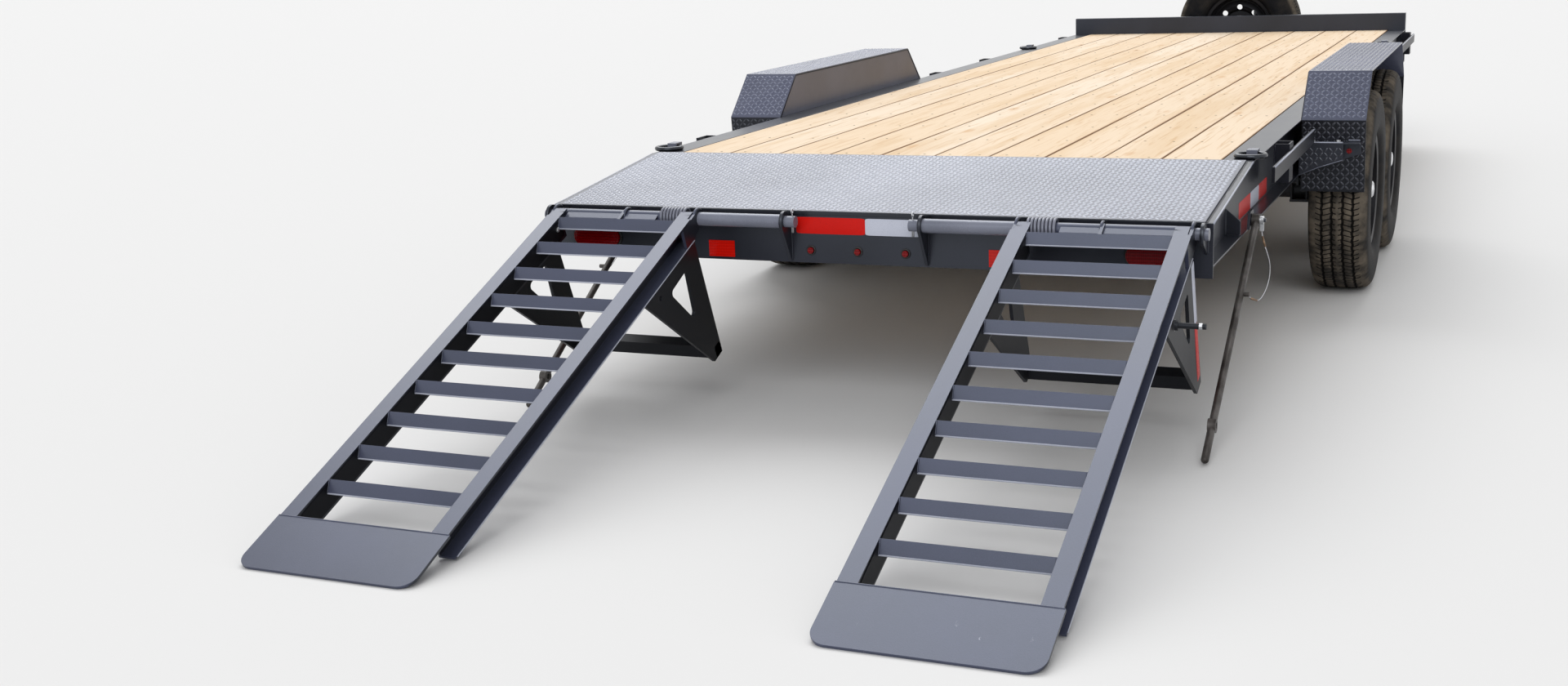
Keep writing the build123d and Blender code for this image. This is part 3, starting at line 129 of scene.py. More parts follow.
class Finish:
    """The nodes of one material, or of the sky when it is kept with the worlds. node() adds any
    shader node, and the other calls are this trailer's usual steps."""

    def __init__(self, name, kept_in=bpy.data.materials):
        self.material = kept_in.new(name)
        self.material.use_nodes = True
        self.tree = self.material.node_tree
        self.tree.nodes.clear()

    def node(self, kind, settings=None, inputs=None, out=0):
        """Adds a node: first its settings, then its sockets, which are numbers or links."""
        made = self.tree.nodes.new("ShaderNode" + kind)
        for key, value in (settings or {}).items():
            setattr(made, key, value)
        for key, value in (inputs or {}).items():
            if isinstance(value, Value):
                self.tree.links.new(value.socket, made.inputs[key])
            else:
                made.inputs[key].default_value = value
        return Value(self, made.outputs[out])

    def math(self, operation, *values):
        """A Math node on numbers or on values."""
        return self.node("Math", {"operation": operation}, dict(enumerate(values)))

    def place(self, out="Object"):
        """The shaded point in metres or, by the name of the output, its normal or its UV."""
        return self.node("TexCoord", out=out)

    def axis(self, name, vector=None):
        """X, Y or Z of a place or a normal."""
        return self.node("SeparateXYZ", {}, {0: vector or self.place()}, name)

    def noise(self, scale, detail=3.0, stretch=(1.0, 1.0, 1.0), rough=0.55):
        """Cloudy noise in metres; stretch squeezes it along each axis."""
        spot = self.node("Mapping", {}, {"Vector": self.place(), "Scale": stretch})
        look = {"Vector": spot, "Scale": scale, "Detail": detail, "Roughness": rough}
        return self.node("TexNoise", {}, look)

    def fade(self, value, low, high):
        """0 below low, 1 above high, and smooth between them."""
        limits = {"Value": value, "From Min": low, "From Max": high}
        return self.node("MapRange", {"interpolation_type": "SMOOTHSTEP"}, limits)

    def mix(self, share, first, second):
        """The first colour where the share is 0, and the second where it is 1."""
        return self.node("Mix", {"data_type": "RGBA"}, {0: share, 6: first, 7: second}, 2)

    def cover(self, colour, rough, height=None, depth=0.0, **shader):
        """Ends the material with a Principled shader, and a bump of that depth in metres."""
        inputs = {"Base Color": colour, "Roughness": rough}
        inputs.update({key.replace("_", " "): value for key, value in shader.items()})
        if height is not None:
            inputs["Normal"] = self.node("Bump", {}, {"Height": height, "Distance": depth})
        self.end(self.node("BsdfPrincipled", {}, inputs))
        return self

    def end(self, shader, kind="Material"):
        """Links the last shader to the surface of the material or of the world."""
        output = self.tree.nodes.new("ShaderNodeOutput" + kind)
        self.tree.links.new(shader.socket, output.inputs["Surface"])


def tone(red, green, blue):
    """A colour as it is read off a screen, 0 to 255, as the shader's linear colour."""
    share = np.array([red, green, blue]) / 255.0
    linear = np.where(share < 0.04045, share / 12.92, ((share + 0.055) / 1.055) ** 2.4)
    return (*linear.tolist(), 1.0)


def bright_metal(name, colour, rough, grain=40.0):
    """Plated or bare steel: full metal with cloudy wear in its tone and roughness."""
    metal = Finish(name)
    cloud = metal.noise(grain, 4.0)
    worn = (*(0.55 * c for c in colour[:3]), 1.0)
    dull = metal.mix(metal.fade(cloud, 0.42, 0.72), colour, worn)
    return metal.cover(dull, rough + 0.22 * cloud, metal.noise(900.0, 2.0), 0.0001, Metallic=0.9)


wire_finish = bright_metal("galvanised_wire", tone(178, 180, 184), 0.26, 300.0)
for side, sign in hands:
    curve = bpy.data.curves.new("brace_lanyard_" + side, "CURVE")
    curve.dimensions = "3D"
    curve.bevel_depth = wire_thick / 2
    curve.bevel_resolution = 3
    curve.resolution_u = 10
    spline = curve.splines.new("NURBS")
    spline.points.add(len(wire_steps) - 1)
    route = wire_route * (sign, 1, 1)
    spline.points.foreach_set("co", np.column_stack([route, np.ones(len(route))]).ravel())
    spline.order_u = 3
    spline.use_endpoint_u = True
    curve.materials.append(wire_finish.material)
    wire = bpy.data.objects.new("brace_lanyard_" + side, curve)
    bpy.context.scene.collection.objects.link(wire)
    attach(wire, "brace_" + side)
    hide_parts("lanyard_" + side)


# Main frame: rolled beams, channels and the folded bumper, welded up and powder coated as one in a
# dark charcoal satin. The coat has a fine orange peel and drifts a little in tone.
def powder_coat(
    name, dark, light, rough, dust=0.0, marks=None, mark_and_shade_tone=None, gloss=0.5, sides=0.0
):
    """Satin coat: orange peel in the bump, slow drifts of tone, a film of dust on what faces up,
    and a second tone under a mask, used for real scuffs and for painted shade. Faces that look out
    to a side get painted shade, darker by that share."""
    coat = Finish(name)
    drift = coat.noise(2.2, 5.0)
    speck = coat.noise(420.0, 2.0)
    facing = coat.place("Normal")
    film = coat.fade(coat.axis("Z", facing), 0.55, 0.98) * coat.fade(drift, 0.42, 0.72) * dust
    colour = coat.mix(coat.fade(drift + (speck - 0.5) * 0.4, 0.3, 0.7), dark, light)
    colour = coat.mix(film, colour, tone(168, 160, 148))
    # Painted shade: faces that look out to a side are darkened.
    if sides:
        sideways = coat.math("ABSOLUTE", coat.axis("X", facing))
        colour = coat.mix(coat.fade(sideways, 0.7, 0.9) * sides, colour, tone(12, 12, 15))
    if marks:
        colour = coat.mix(marks(coat), colour, mark_and_shade_tone)
    return coat.cover(
        colour,
        rough + (drift - 0.5) * 0.14 + film * 0.4,
        speck,
        0.00016,
        Specular_Tint=(0.8, 0.87, 1.0, 1.0),
        IOR=1.55,
        Specular_IOR_Level=gloss,
    )


def give(finish, *nodes):
    """The finish goes on these CAD nodes."""
    for name in nodes:
        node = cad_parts[name]
        if not node.material_slots:
            node.data.materials.append(finish.material)
        for slot in node.material_slots:
            slot.material = finish.material


def soften(width, *nodes):
    """Rolled, sawn or folded edges: the nodes' sharp edges get a small round."""
    for name in nodes:
        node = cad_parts[name]
        join = node.modifiers.new("join", "WELD")
        join.merge_threshold = 0.00005
        bevel = node.modifiers.new("edges", "BEVEL")
        bevel.width = width
        bevel.segments = 2
        bevel.limit_method = "ANGLE"
        bevel.angle_limit = math.radians(38)
        bevel.harden_normals = True


def at(x, y, z):
    """A point measured from the rear bumper's face, in metres."""
    return np.array([x, rear + y, z])


def closed_faces(rows, columns):
    """Quads between neighbours of a rows x columns grid of points, as point numbers."""
    first = np.arange(rows - 1)[:, None] * columns + np.arange(columns - 1)[None, :]
    return np.stack([first, first + 1, first + columns + 1, first + columns], -1).reshape(-1, 4)


def grid(points):
    """A surface over a grid of points (rows, columns, 3): its points in one list, and its quads."""
    rows, columns = points.shape[:2]
    return points.reshape(-1, 3), closed_faces(rows, columns)


def copies(surface, places):
    """The same surface once at each place, all in one."""
    points, faces = surface
    places = np.atleast_2d(places)
    many = (places[:, None, :] + points[None, :, :]).reshape(-1, 3)
    starts = np.arange(len(places)) * len(points)
    return many, (faces[None] + starts[:, None, None]).reshape(-1, 4)


def together(surfaces):
    """Several surfaces as one."""
    starts = np.cumsum([0] + [len(points) for points, _ in surfaces[:-1]])
    points = np.concatenate([points for points, _ in surfaces])
    return points, np.concatenate([faces + start for (_, faces), start in zip(surfaces, starts)])


def both(surfaces):
    """The surfaces and their mirror images across the trailer's middle."""
    points, faces = together(surfaces)
    return together([(points, faces), (points * (-1, 1, 1), faces[:, ::-1])])


def sided(surface, sign):
    """The surface as it is, or with the sign -1 its mirror image on the trailer's left."""
    points, faces = surface
    return points * (sign, 1, 1), faces


def piece(name, surface, body, finish, slot, *nodes, smooth=True, uv=None):
    """Makes the surface a named piece on a body: seams and poles merged, faces pointing out."""
    points, faces = surface
    mesh = bpy.data.meshes.new(name)
    mesh.from_pydata(points, [], faces)
    if uv is not None:
        corner = np.zeros(len(mesh.loops), int)
        mesh.loops.foreach_get("vertex_index", corner)
        mesh.uv_layers.new(name="UVMap").data.foreach_set("uv", uv[corner].ravel())
    shaping = bmesh.new()
    shaping.from_mesh(mesh)
    bmesh.ops.remove_doubles(shaping, verts=shaping.verts, dist=0.00001)
    bmesh.ops.recalc_face_normals(shaping, faces=shaping.faces)
    shaping.to_mesh(mesh)
    shaping.free()
    mesh.polygons.foreach_set("use_smooth", [smooth] * len(mesh.polygons))
    mesh.materials.append(finish.material)
    made = bpy.data.objects.new(name, mesh)
    bpy.context.scene.collection.objects.link(made)
    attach(made, body)
    if nodes:
        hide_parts(*nodes)
    return made


def pad(middle, along, over, size, rings, power=2.0, sides=24):
    """A raised pad on a flat: superellipses round the middle, each ring smaller than the size by
    its inset and standing at its height. Its two directions are square to each other."""
    along, over = (np.array(v, float) for v in (along, over))
    turn = np.linspace(0, 2 * math.pi, sides + 1)
    inset, height = np.array(rings, float).T[:, :, None]
    u = (size[0] - inset) * np.sign(np.cos(turn)) * abs(np.cos(turn)) ** (2 / power)
    v = (size[1] - inset) * np.sign(np.sin(turn)) * abs(np.sin(turn)) ** (2 / power)
    out = np.cross(along, over)
    shape = u[..., None] * along + v[..., None] * over + (height + 0 * u)[..., None] * out
    return grid(np.array(middle) + shape)


def tube(path, radius, sides=8):
    """A round bar along a path: a circle of that radius square to the path at each point, closed to
    a point at both ends. The radius may be one for each point."""
    path = np.array(path, float)
    tangent = np.gradient(path, axis=0)
    tangent /= np.linalg.norm(tangent, axis=1)[:, None]
    first = np.cross(tangent, (0.36, 0.48, 0.8))
    first /= np.linalg.norm(first, axis=1)[:, None]
    second = np.cross(tangent, first)
    turn = np.linspace(0, 2 * math.pi, sides + 1)[None, :, None]
    size = np.broadcast_to(radius, len(path))[:, None, None]
    ring = path[:, None] + size * (np.cos(turn) * first[:, None] + np.sin(turn) * second[:, None])
    ends = np.repeat(path[[0, -1]][:, None], sides + 1, 1)
    return grid(np.concatenate([ends[:1], ring, ends[1:]]))


def weld(start, finish, radius=0.0032):
    """A weld bead: a bar between two points whose radius ripples every 5 mm."""
    start, finish = np.array(start, float), np.array(finish, float)
    count = max(5, int(np.linalg.norm(finish - start) / 0.0025))
    share = np.linspace(0, 1, count)[:, None]
    ripple = radius * np.where(np.arange(count) % 2, 1.0, 0.84)
    return tube(start + share * (finish - start), ripple, 6)


def bolt(middle, along, over, radius=0.0085, high=0.0065, washer=0.0125):
    """A hexagon head with a chamfered crown, on a round washer."""
    head = [(radius, 0), (0, 0), (0, high * 0.8), (radius * 0.12, high), (radius, high)]
    disc = [(washer, 0), (0, 0), (0, 0.0018), (washer, 0.0018)]
    seat = np.array(middle) + 0.0018 * np.cross(along, over)
    return together(
        [
            pad(seat, along, over, (radius, radius), head, 2.0, 6),
            pad(middle, along, over, (washer, washer), disc, 2.0, 18),
        ]
    )


def sheet(middle, along, over, size, thick, power=14.0):
    """A thin plate or tape with small round corners, lying on a flat."""
    edge = min(size)
    rings = [(edge, 0), (0, 0), (0, thick * 0.7), (thick, thick), (edge, thick)]
    return pad(middle, along, over, size, rings, power, 40)


frame_coat = powder_coat("charcoal_coat", tone(24, 25, 31), tone(34, 35, 44), 0.3)
# A lighter copy of the coat for round bars and small edges: its extra lightness is painted
# highlight.
bar_highlight_coat = powder_coat("bar_highlight_coat", tone(102, 105, 118), tone(120, 123, 137), 0.26)
side_coat = powder_coat("side_coat", tone(22, 22, 27), tone(32, 33, 40), 0.36, gloss=0.12)
give(frame_coat, "main_beams", "rear_bumper", "front_frame", "cross_members", "spare_bracket")
give(frame_coat, "tongue", "tongue_plates", "coupler_bracket")
give(side_coat, "rub_rails", "stake_pockets")
give(frame_coat, "fender_brackets", "hinge_ears", "brace_pivots")
# The hinge shafts and the rings' straps take the lighter coat of painted highlight.
give(bar_highlight_coat, "hinge_shafts", "ring_straps")
soften(0.0024, "main_beams", "rear_bumper", "front_frame", "rub_rails", "tongue", "tongue_plates")
soften(0.0012, "stake_pockets", "fender_brackets", "hinge_ears", "ring_straps")


def upright_weld(x, y, low, high, radius=0.0032):
    """A weld bead from one height to another."""
    return weld(at(x, y, low), at(x, y, high), radius)


pocket_stations = (1.2, 3.98, 4.86667, 5.75333, 6.64)
beads = [
    upright_weld(1.0515, 0.004, 0.515, 0.631, 0.0035),
    upright_weld(1.0065, 0.489, 0.516, 0.596),
    weld(at(1.009, 0.489, 0.517), at(1.050, 0.489, 0.517)),
    upright_weld(0.560, 6.9215, 0.515, 0.657, 0.004),
    upright_weld(0.060, 8.3285, 0.515, 0.657, 0.004),
]
for x, low in ((0.220, 0.489), (1.035, 0.553)):
    beads += [upright_weld(x + side, -0.0015, low, 0.612) for side in (-0.0055, 0.0055)]
for y in pocket_stations:
    beads += [upright_weld(1.0555, y + edge, 0.586, 0.706, 0.0028) for edge in (-0.046, 0.046)]
beads += [upright_weld(1.0, y, 0.60, 0.66, 0.0028) for y in (0.189, 0.439)]
piece("frame_welds", both(beads), "chassis", frame_coat, "frame_paint")

# Thin bars of painted highlight along the beams' tail edges and the rub rails' top edges, in a much
# lighter copy of the coat.
edge_highlight_coat = powder_coat("edge_highlight_coat", tone(150, 154, 168), tone(176, 180, 194), 0.3)
tail_edge_highlight = tube([at(1.0535, 0.002 + 0.07 * k, 0.6345 + 0.0077 * k) for k in range(11)], 0.0026)
piece("tail_edge_highlights", both([tail_edge_highlight]), "chassis", edge_highlight_coat, "frame_paint")
rub_spans = ((0.748, 1.2, 1.742), (3.764, 5.3, 6.826))
rub_edge_highlights = [tube([at(1.1125, y, 0.6895) for y in span], 0.0028) for span in rub_spans]
piece("rub_edge_highlights", both(rub_edge_highlights), "chassis", edge_highlight_coat, "frame_paint")


# Warning tape: retroreflective strips stuck on the beams' webs and on the bumper, red and white in
# turn. The film is made of small hexagonal cells that show as a fine net.
def tape_film(name, colour, net):
    """One colour under the net of the cells' walls, which stand up a little."""
    film = Finish(name)
    look = {"Vector": film.place(), "Scale": 260.0}
    cell = film.node("TexVoronoi", {"feature": "DISTANCE_TO_EDGE"}, look)
    line = film.fade(0.09 - cell, 0.0, 0.05)
    shade = film.mix(film.noise(9.0) * 0.25, colour, net)
    return film.cover(film.mix(line * 0.35, shade, net), 0.3 + 0.2 * line, line, 0.0001, IOR=1.3)


tape_thick = 0.0004
red_tape = tape_film("red_tape", tone(214, 14, 2), tone(160, 8, 3))
white_tape = tape_film("white_tape", tone(200, 204, 218), tone(168, 173, 190))
rearwards = ((1, 0, 0), (0, 0, 1))
outwards = ((0, 1, 0), (0, 0, 1))
side_tapes = ((0.8525, 0.1175, red_tape), (1.060, 0.09, white_tape), (1.240, 0.09, red_tape))
for number, (y, half, film) in enumerate(side_tapes):
    strip = sheet(at(1.0066, y, 0.5475), *outwards, (half, 0.0275), tape_thick)
    piece("side_tape_%d" % number, both([strip]), "chassis", film, "frame_paint")
bumper_tapes = (("red", -0.0875, 0.1125, red_tape), ("white", 0.1125, 0.0875, white_tape))
for name, x, half, film in bumper_tapes:
    strip = sheet(at(x, -0.0001, 0.5955), *rearwards, (half, 0.0255), tape_thick)
    piece("bumper_tape_" + name, strip, "chassis", film, "frame_paint")

# Deck: ten pine boards laid lengthwise with narrow gaps, screwed down twice to every cross member.
# The wood is fresh, cream to pale yellow, with soft streaks, small knots and brown seams.
board_count = 10
board_wide = 0.1864
board_step = 0.1904
first_edge = -0.950
deck_z = 0.713

wood = Finish("pine_board")
from_edge = (wood.axis("X") - first_edge) / board_step
board = wood.math("FLOOR", from_edge)
inside = wood.math("FRACT", from_edge) * board_step
shifted = wood.node("CombineXYZ", {}, {0: board * 3.7, 1: board * 5.3, 2: board * 1.9})
along = wood.node("VectorMath", {"operation": "ADD"}, {0: wood.place(), 1: shifted})
slow = wood.node("Mapping", {}, {"Vector": along, "Scale": (9.0, 0.6, 9.0)})
warp = wood.node("TexNoise", {}, {"Vector": slow, "Scale": 1.0, "Detail": 4.0})
rings = wood.node("Mapping", {}, {"Vector": along, "Scale": (1.0, 0.045, 1.0)})
fibres = {"Vector": rings, "Scale": 70.0, "Detail": 5.0, "Distortion": 0.9}
grain = wood.node("TexNoise", {}, fibres)
per_board = wood.node("TexWhiteNoise", {"noise_dimensions": "1D"}, {"W": board})
pale = wood.mix(per_board, tone(238, 220, 197), tone(231, 206, 174))
colour = wood.mix(wood.fade(warp, 0.45, 0.68) * 0.7, pale, tone(220, 190, 150))
colour = wood.mix(wood.fade(grain, 0.5, 0.7) * 0.55, colour, tone(206, 168, 120))
cells = wood.node("Mapping", {}, {"Vector": along, "Scale": (7.0, 2.1, 7.0)})
knot = wood.node("TexVoronoi", {}, {"Vector": cells, "Scale": 1.0})
which = wood.node("TexVoronoi", {}, {"Vector": cells, "Scale": 1.0}, 1)
chosen = wood.axis("X", which) > 0.45
ring_mark = wood.fade(0.17 - knot, 0.0, 0.10) * chosen
core = wood.fade(0.055 - knot, 0.0, 0.02) * chosen
colour = wood.mix(ring_mark * 0.55, colour, tone(206, 160, 106))
colour = wood.mix(core * 0.85, colour, tone(138, 92, 52))
edge = wood.math("MINIMUM", inside, board_wide - inside)
seam = wood.fade(0.0052 - edge + (warp - 0.5) * 0.016, 0.0, 0.004)
colour = wood.mix(seam * 0.85, colour, tone(132, 92, 54))
wood.cover(colour, 0.6 + 0.15 * grain, grain * 0.5 - core - seam, 0.0008, IOR=1.35)
give(wood, "deck_boards")
soften(0.0022, "deck_boards")

screw_r = 0.0046
screw_head = [
    (screw_r, -0.0012),
    (0, -0.0012),
    (0, 0.0003),
    (0.0012, 0.0007),
    (0.0026, 0.0006),
    (screw_r, -0.0004),
]
screw = pad((0, 0, 0), (1, 0, 0), (0, 1, 0), (screw_r, screw_r), screw_head, 2.0, 8)
screw_share = np.array([0.23, 0.77])
columns = first_edge + np.arange(board_count)[:, None] * board_step + board_wide * screw_share
lines = np.append(0.770 + 0.406 * np.arange(15), 6.845)
spread = np.random.default_rng(7).normal(0, 0.004, (columns.size, lines.size, 2))
places = np.zeros((columns.size, lines.size, 3))
places[..., 0] = columns.reshape(-1, 1) + spread[..., 0]
places[..., 1] = rear + lines[None, :] + spread[..., 1]
places[..., 2] = deck_z + 0.0001
screw_zinc = bright_metal("screw_zinc", tone(120, 104, 78), 0.4, 200.0)
piece("deck_screws", copies(screw, places.reshape(-1, 3)), "chassis", screw_zinc, "zinc")

# Tail plate: steel tread plate over the dovetail, its raised lugs in rows that cross at right
# angles. The same plate covers the fenders. It is coated like the frame, and glossier on its flats;
# the coats on it are lighter and bluer than the frame's as painted sky reflection, and its lugs
# lighter still as painted highlight.
lug_long = 0.0215
lug_wide = 0.0070
lug_high = 0.0021
lug_step = 0.0172
lug_rows = 5
lug_columns = 3
tail_long = 0.700
tail_foot = 0.641
tail_low, tail_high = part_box("tail_plate")
# The lugs take a much lighter coat: painted highlight.
lug_highlight_coat = powder_coat("lug_highlight_coat", tone(156, 160, 173), tone(176, 180, 193), 0.26)


def lip_painted_shade(coat):
    """Painted shade: the folded lip, which faces rearwards, and a ragged dark line along the
    plate's cut edge over it.
    """
    turned = coat.fade(coat.axis("Y", coat.place("Normal")), -0.5, -0.7)
    ragged = (coat.noise(70.0, 2.0, (1.0, 0.2, 0.2)) - 0.5) * 0.012
    edge = coat.fade(coat.axis("Y") + ragged, rear - 0.0005, rear - 0.0025)
    return coat.math("MAXIMUM", turned, edge)


lip_shade_tone = tone(20, 20, 24)
# The plate's coat is lighter and bluer than the frame's as painted sky reflection, with painted
# shade on its lip.
plate_sheen_and_shade_coat = powder_coat(
    "tread_plate_sheen_and_shade_coat", tone(88, 91, 104), tone(102, 105, 120), 0.24, 0.0, lip_painted_shade, lip_shade_tone
)
give(plate_sheen_and_shade_coat, "tail_plate")
soften(0.0012, "tail_plate")


def lug_field(origin, along, over, out, length, width, keep=None):
    """Lens-shaped lugs in a chequer on a flat field: every second one is turned by a right angle.
    A lug is long in u and narrow in v, as wide as the root of 1 - u squared, and as high as
    1 - v squared times that width."""
    along, over, out = (np.array(v, float) for v in (along, over, out))
    u, v = np.meshgrid(np.linspace(-1, 1, lug_rows), np.linspace(-1, 1, lug_columns), indexing="ij")
    swell = np.sqrt(1 - u**2)
    long_way = u * lug_long / 2
    wide_way = v * swell * lug_wide / 2
    rise = (1 - v**2) * swell * lug_high
    fields = []
    turns = (math.pi / 4, -math.pi / 4)
    count = (max(1, int(length / lug_step)), max(1, int(width / lug_step)))
    cell = np.indices(count)
    middle = (cell + 0.5 - np.array(count)[:, None, None] / 2) * lug_step
    for parity, turn in enumerate(turns):
        a = long_way * math.cos(turn) - wide_way * math.sin(turn)
        b = long_way * math.sin(turn) + wide_way * math.cos(turn)
        shape = a[..., None] * along + b[..., None] * over + rise[..., None] * out
        here = (cell.sum(0) % 2) == parity
        places = origin + middle[0][here][:, None] * along + middle[1][here][:, None] * over
        if keep is not None:
            places = places[keep(places)]
        fields.append(copies(grid(shape), places))
    return together(fields)


tail_rise = (tail_high.z - tail_foot) / tail_long
tail_angle = math.atan(tail_rise)
tail_middle = np.array([0.0, rear + tail_long / 2, tail_foot + tail_rise * tail_long / 2])
tail_up = (0, -math.sin(tail_angle), math.cos(tail_angle))
tail_over = (0, math.cos(tail_angle), math.sin(tail_angle))
tail_size = (tail_high.x - tail_low.x - 0.002, tail_long / math.cos(tail_angle) - 0.015)
tail_lugs = lug_field(tail_middle, (1, 0, 0), tail_over, tail_up, *tail_size)
piece("tail_plate_lugs", tail_lugs, "chassis", lug_highlight_coat, "tread_plate")

# Beside the plate, a thin dark sheet on each beam is painted shadow of its cut edge.
edge_shadow_middle = tail_middle + (tail_high.x + 0.0032, 0.0, -0.0048)
edge_shadow = sheet(edge_shadow_middle, (1, 0, 0), tail_over, (0.0030, 0.345), 0.0004, 40.0)
piece("plate_edge_shadows", both([edge_shadow]), "chassis", side_coat, "frame_paint")

# Running gear: two sprung axles under the beams. Axles, hangers and springs are brushed with black
# chassis paint, thicker and duller than the coat, with brown road dust low down.
gear_paint = powder_coat("chassis_paint", tone(30, 30, 31), tone(46, 45, 44), 0.5, 0.5)
give(gear_paint, "axles", "spring_seats", "spring_hangers", "equalizers", "shackles")
give(gear_paint, "leaf_springs")
zinc = bright_metal("zinc_plate", tone(196, 198, 202), 0.26, 60.0)

# Wheels: radial trailer tyres on eight-stud disc wheels. The rubber is moulded with four grooves
# round the tread, slanted sipes, notched shoulders and a smooth bulging sidewall with raised rings.
tyre_low, tyre_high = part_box("tyre_rear_right")
tyre_r = (tyre_high.z - tyre_low.z) / 2
tyre_half = (tyre_high.x - tyre_low.x) / 2
bead_r = 0.2055
widest_r = 0.288
tread_half = 0.085
flank_power = 4.6
groove_at = (0.020, 0.056)
groove_half = 0.0042
groove_slant = 0.0012
groove_deep = 0.0075
notch_deep = 0.005
tread_pitches = 76


def tyre_section():
    """Half section as (x, radius, groove share) from the crown to the bead: across the tread in
    groove-edge steps, then round the sidewall on a superellipse."""
    tread = [0.0]
    for middle in groove_at:
        tread += [middle - groove_half, middle - groove_half + groove_slant]
        tread += [middle + groove_half - groove_slant, middle + groove_half]
    tread += [0.0645, 0.075, tread_half]
    edge = np.arcsin((tread_half / tyre_half) ** (flank_power / 2))
    turn = np.linspace(edge, math.pi / 2, 9)[1:]
    x = np.concatenate([tread, tyre_half * np.sin(turn) ** (2 / flank_power)])
    lift = (1 - (x / tyre_half) ** flank_power).clip(0) ** (1 / flank_power)
    r = widest_r + (tyre_r - widest_r) * lift
    down = np.linspace(0, 1, 8)[1:]
    low_r = widest_r - (widest_r - bead_r - 0.006) * down
    low_x = tyre_half * (1 - (0.93 * down) ** 3) ** (1 / 3)
    x = np.concatenate([x, low_x, [0.0855, 0.0855, 0.0]])
    r = np.concatenate([r, low_r, [bead_r + 0.006, bead_r, bead_r]])
    groove = np.zeros(len(x))
    groove[[2, 3, 6, 7]] = 1.0
    return x, r, groove


def tyre(centre, axis):
    """The section carried round the axle; shoulder rows dip at each tread notch. Also gives each
    point's pitch number round the tread and its distance across it, then down the sidewall."""
    x, r, groove = tyre_section()
    turns = np.linspace(0, 2 * math.pi, tread_pitches * 4 + 1)
    phase = np.arange(len(turns)) % 4
    notch = (phase == 0).astype(float)
    x = np.concatenate([-x[:0:-1], x])
    r = np.concatenate([r[:0:-1], r])
    groove = np.concatenate([groove[:0:-1], groove])
    shoulder = ((abs(x) > 0.063) & (r > tyre_r - 0.028)).astype(float)
    depth = groove[:, None] * groove_deep + shoulder[:, None] * notch[None, :] * notch_deep
    radius = r[:, None] - depth
    wave = 0.0014 * np.where(phase < 2, 1.0, -1.0)
    side = x[:, None] + wave[None, :] * (abs(x) < 0.062)[:, None]
    round_y = radius * np.cos(turns)
    round_z = radius * np.sin(turns)
    shape = (side, round_y, round_z) if axis == "x" else (round_y, side, round_z)
    pitch = turns[None, :] * tread_pitches / (2 * math.pi)
    down = np.where(r > tyre_r - 0.004, abs(x), tread_half + tyre_r - r)
    uv = np.stack(np.broadcast_arrays(pitch, down[:, None]), -1)
    return grid(np.stack(shape, -1) + np.array(centre)), uv.reshape(-1, 2)


rubber = Finish("tyre_rubber")
far = rubber.noise(14.0, 5.0)
fine = rubber.noise(260.0, 2.0)
pitch_number = rubber.axis("X", rubber.place("UV"))
down = rubber.axis("Y", rubber.place("UV"))
on_tread = down < 0.083
lean = rubber.math("PINGPONG", down + 0.018, 0.036)
sipe = rubber.math("FRACT", pitch_number * 1.5 + lean * 14.0)
sipe = (sipe < 0.22) * on_tread * rubber.fade(down, 0.004, 0.006)
groove_shade = 0.0
for middle in groove_at:
    off = rubber.math("ABSOLUTE", down - middle)
    groove_shade = groove_shade + (off < groove_half * 1.15)
flank = rubber.fade(down, 0.10, 0.125)
raised = (rubber.math("PINGPONG", down, 0.006) > 0.0045) * flank
dusty = rubber.fade(far, 0.3, 0.7) * (1.0 - flank * 0.88)
black = rubber.mix(flank, tone(44, 42, 40), tone(17, 18, 22))
colour = rubber.mix(dusty * 0.65, black, tone(124, 114, 101))
# Painted shade: the grooves and sipes are painted darker than the rubber itself.
colour = rubber.mix(groove_shade * 0.9, colour, tone(8, 7, 7))
colour = rubber.mix(sipe * 0.9, colour, tone(9, 8, 8))
relief = raised * 0.5 - sipe + fine * 0.15
rubber.cover(colour, 0.62 + 0.25 * dusty, relief, 0.0016, IOR=1.3, Specular_IOR_Level=0.25)

hub_face = 1.182
wheel_paint = powder_coat("wheel_paint", tone(20, 19, 20), tone(30, 28, 29), 0.42, gloss=0.2)
hub = Finish("hub_metal")
beyond = hub.fade(hub.math("ABSOLUTE", hub.axis("X")), hub_face - 0.001, hub_face + 0.001)
cloud = hub.noise(90.0, 4.0)
hub.cover(
    hub.mix(beyond, tone(40, 38, 37), hub.mix(cloud, tone(214, 216, 220), tone(176, 178, 184))),
    0.6 - 0.36 * beyond + 0.1 * cloud,
    Metallic=beyond * 0.9,
)
cap_chrome = bright_metal("cap_chrome", tone(232, 233, 236), 0.16, 30.0)
cap_r = 0.033
cap_rings = [
    (cap_r, 0),
    (0, 0),
    (0, 0.027),
    (0.003, 0.032),
    (0.010, 0.0355),
    (0.021, 0.037),
    (cap_r, 0.037),
]
for axle in ("rear", "front"):
    for side, sign in hands:
        name = axle + "_" + side
        low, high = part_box("tyre_" + name)
        centre = (np.array(low) + np.array(high)) / 2
        shape, uv = tyre(centre, "x")
        piece("tread_" + name, shape, "wheel_" + name, rubber, "tyre", "tyre_" + name, uv=uv)
        give(wheel_paint, "rim_" + name)
        give(hub, "hub_" + name)
        hub_end = max(abs(corner.x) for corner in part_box("hub_" + name))
        seat = (hub_end - 0.001, centre[1], centre[2])
        cap = sided(pad(seat, (0, 1, 0), (0, 0, 1), (cap_r, cap_r), cap_rings), sign)
        piece("hub_cap_" + name, cap, "wheel_" + name, cap_chrome, "hub_metal")
low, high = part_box("spare_tyre")
spare_middle = (np.array(low) + np.array(high)) / 2
shape, uv = tyre(spare_middle, "y")
piece("tread_spare", shape, "chassis", rubber, "tyre", "spare_tyre", uv=uv)
give(wheel_paint, "spare_rim")

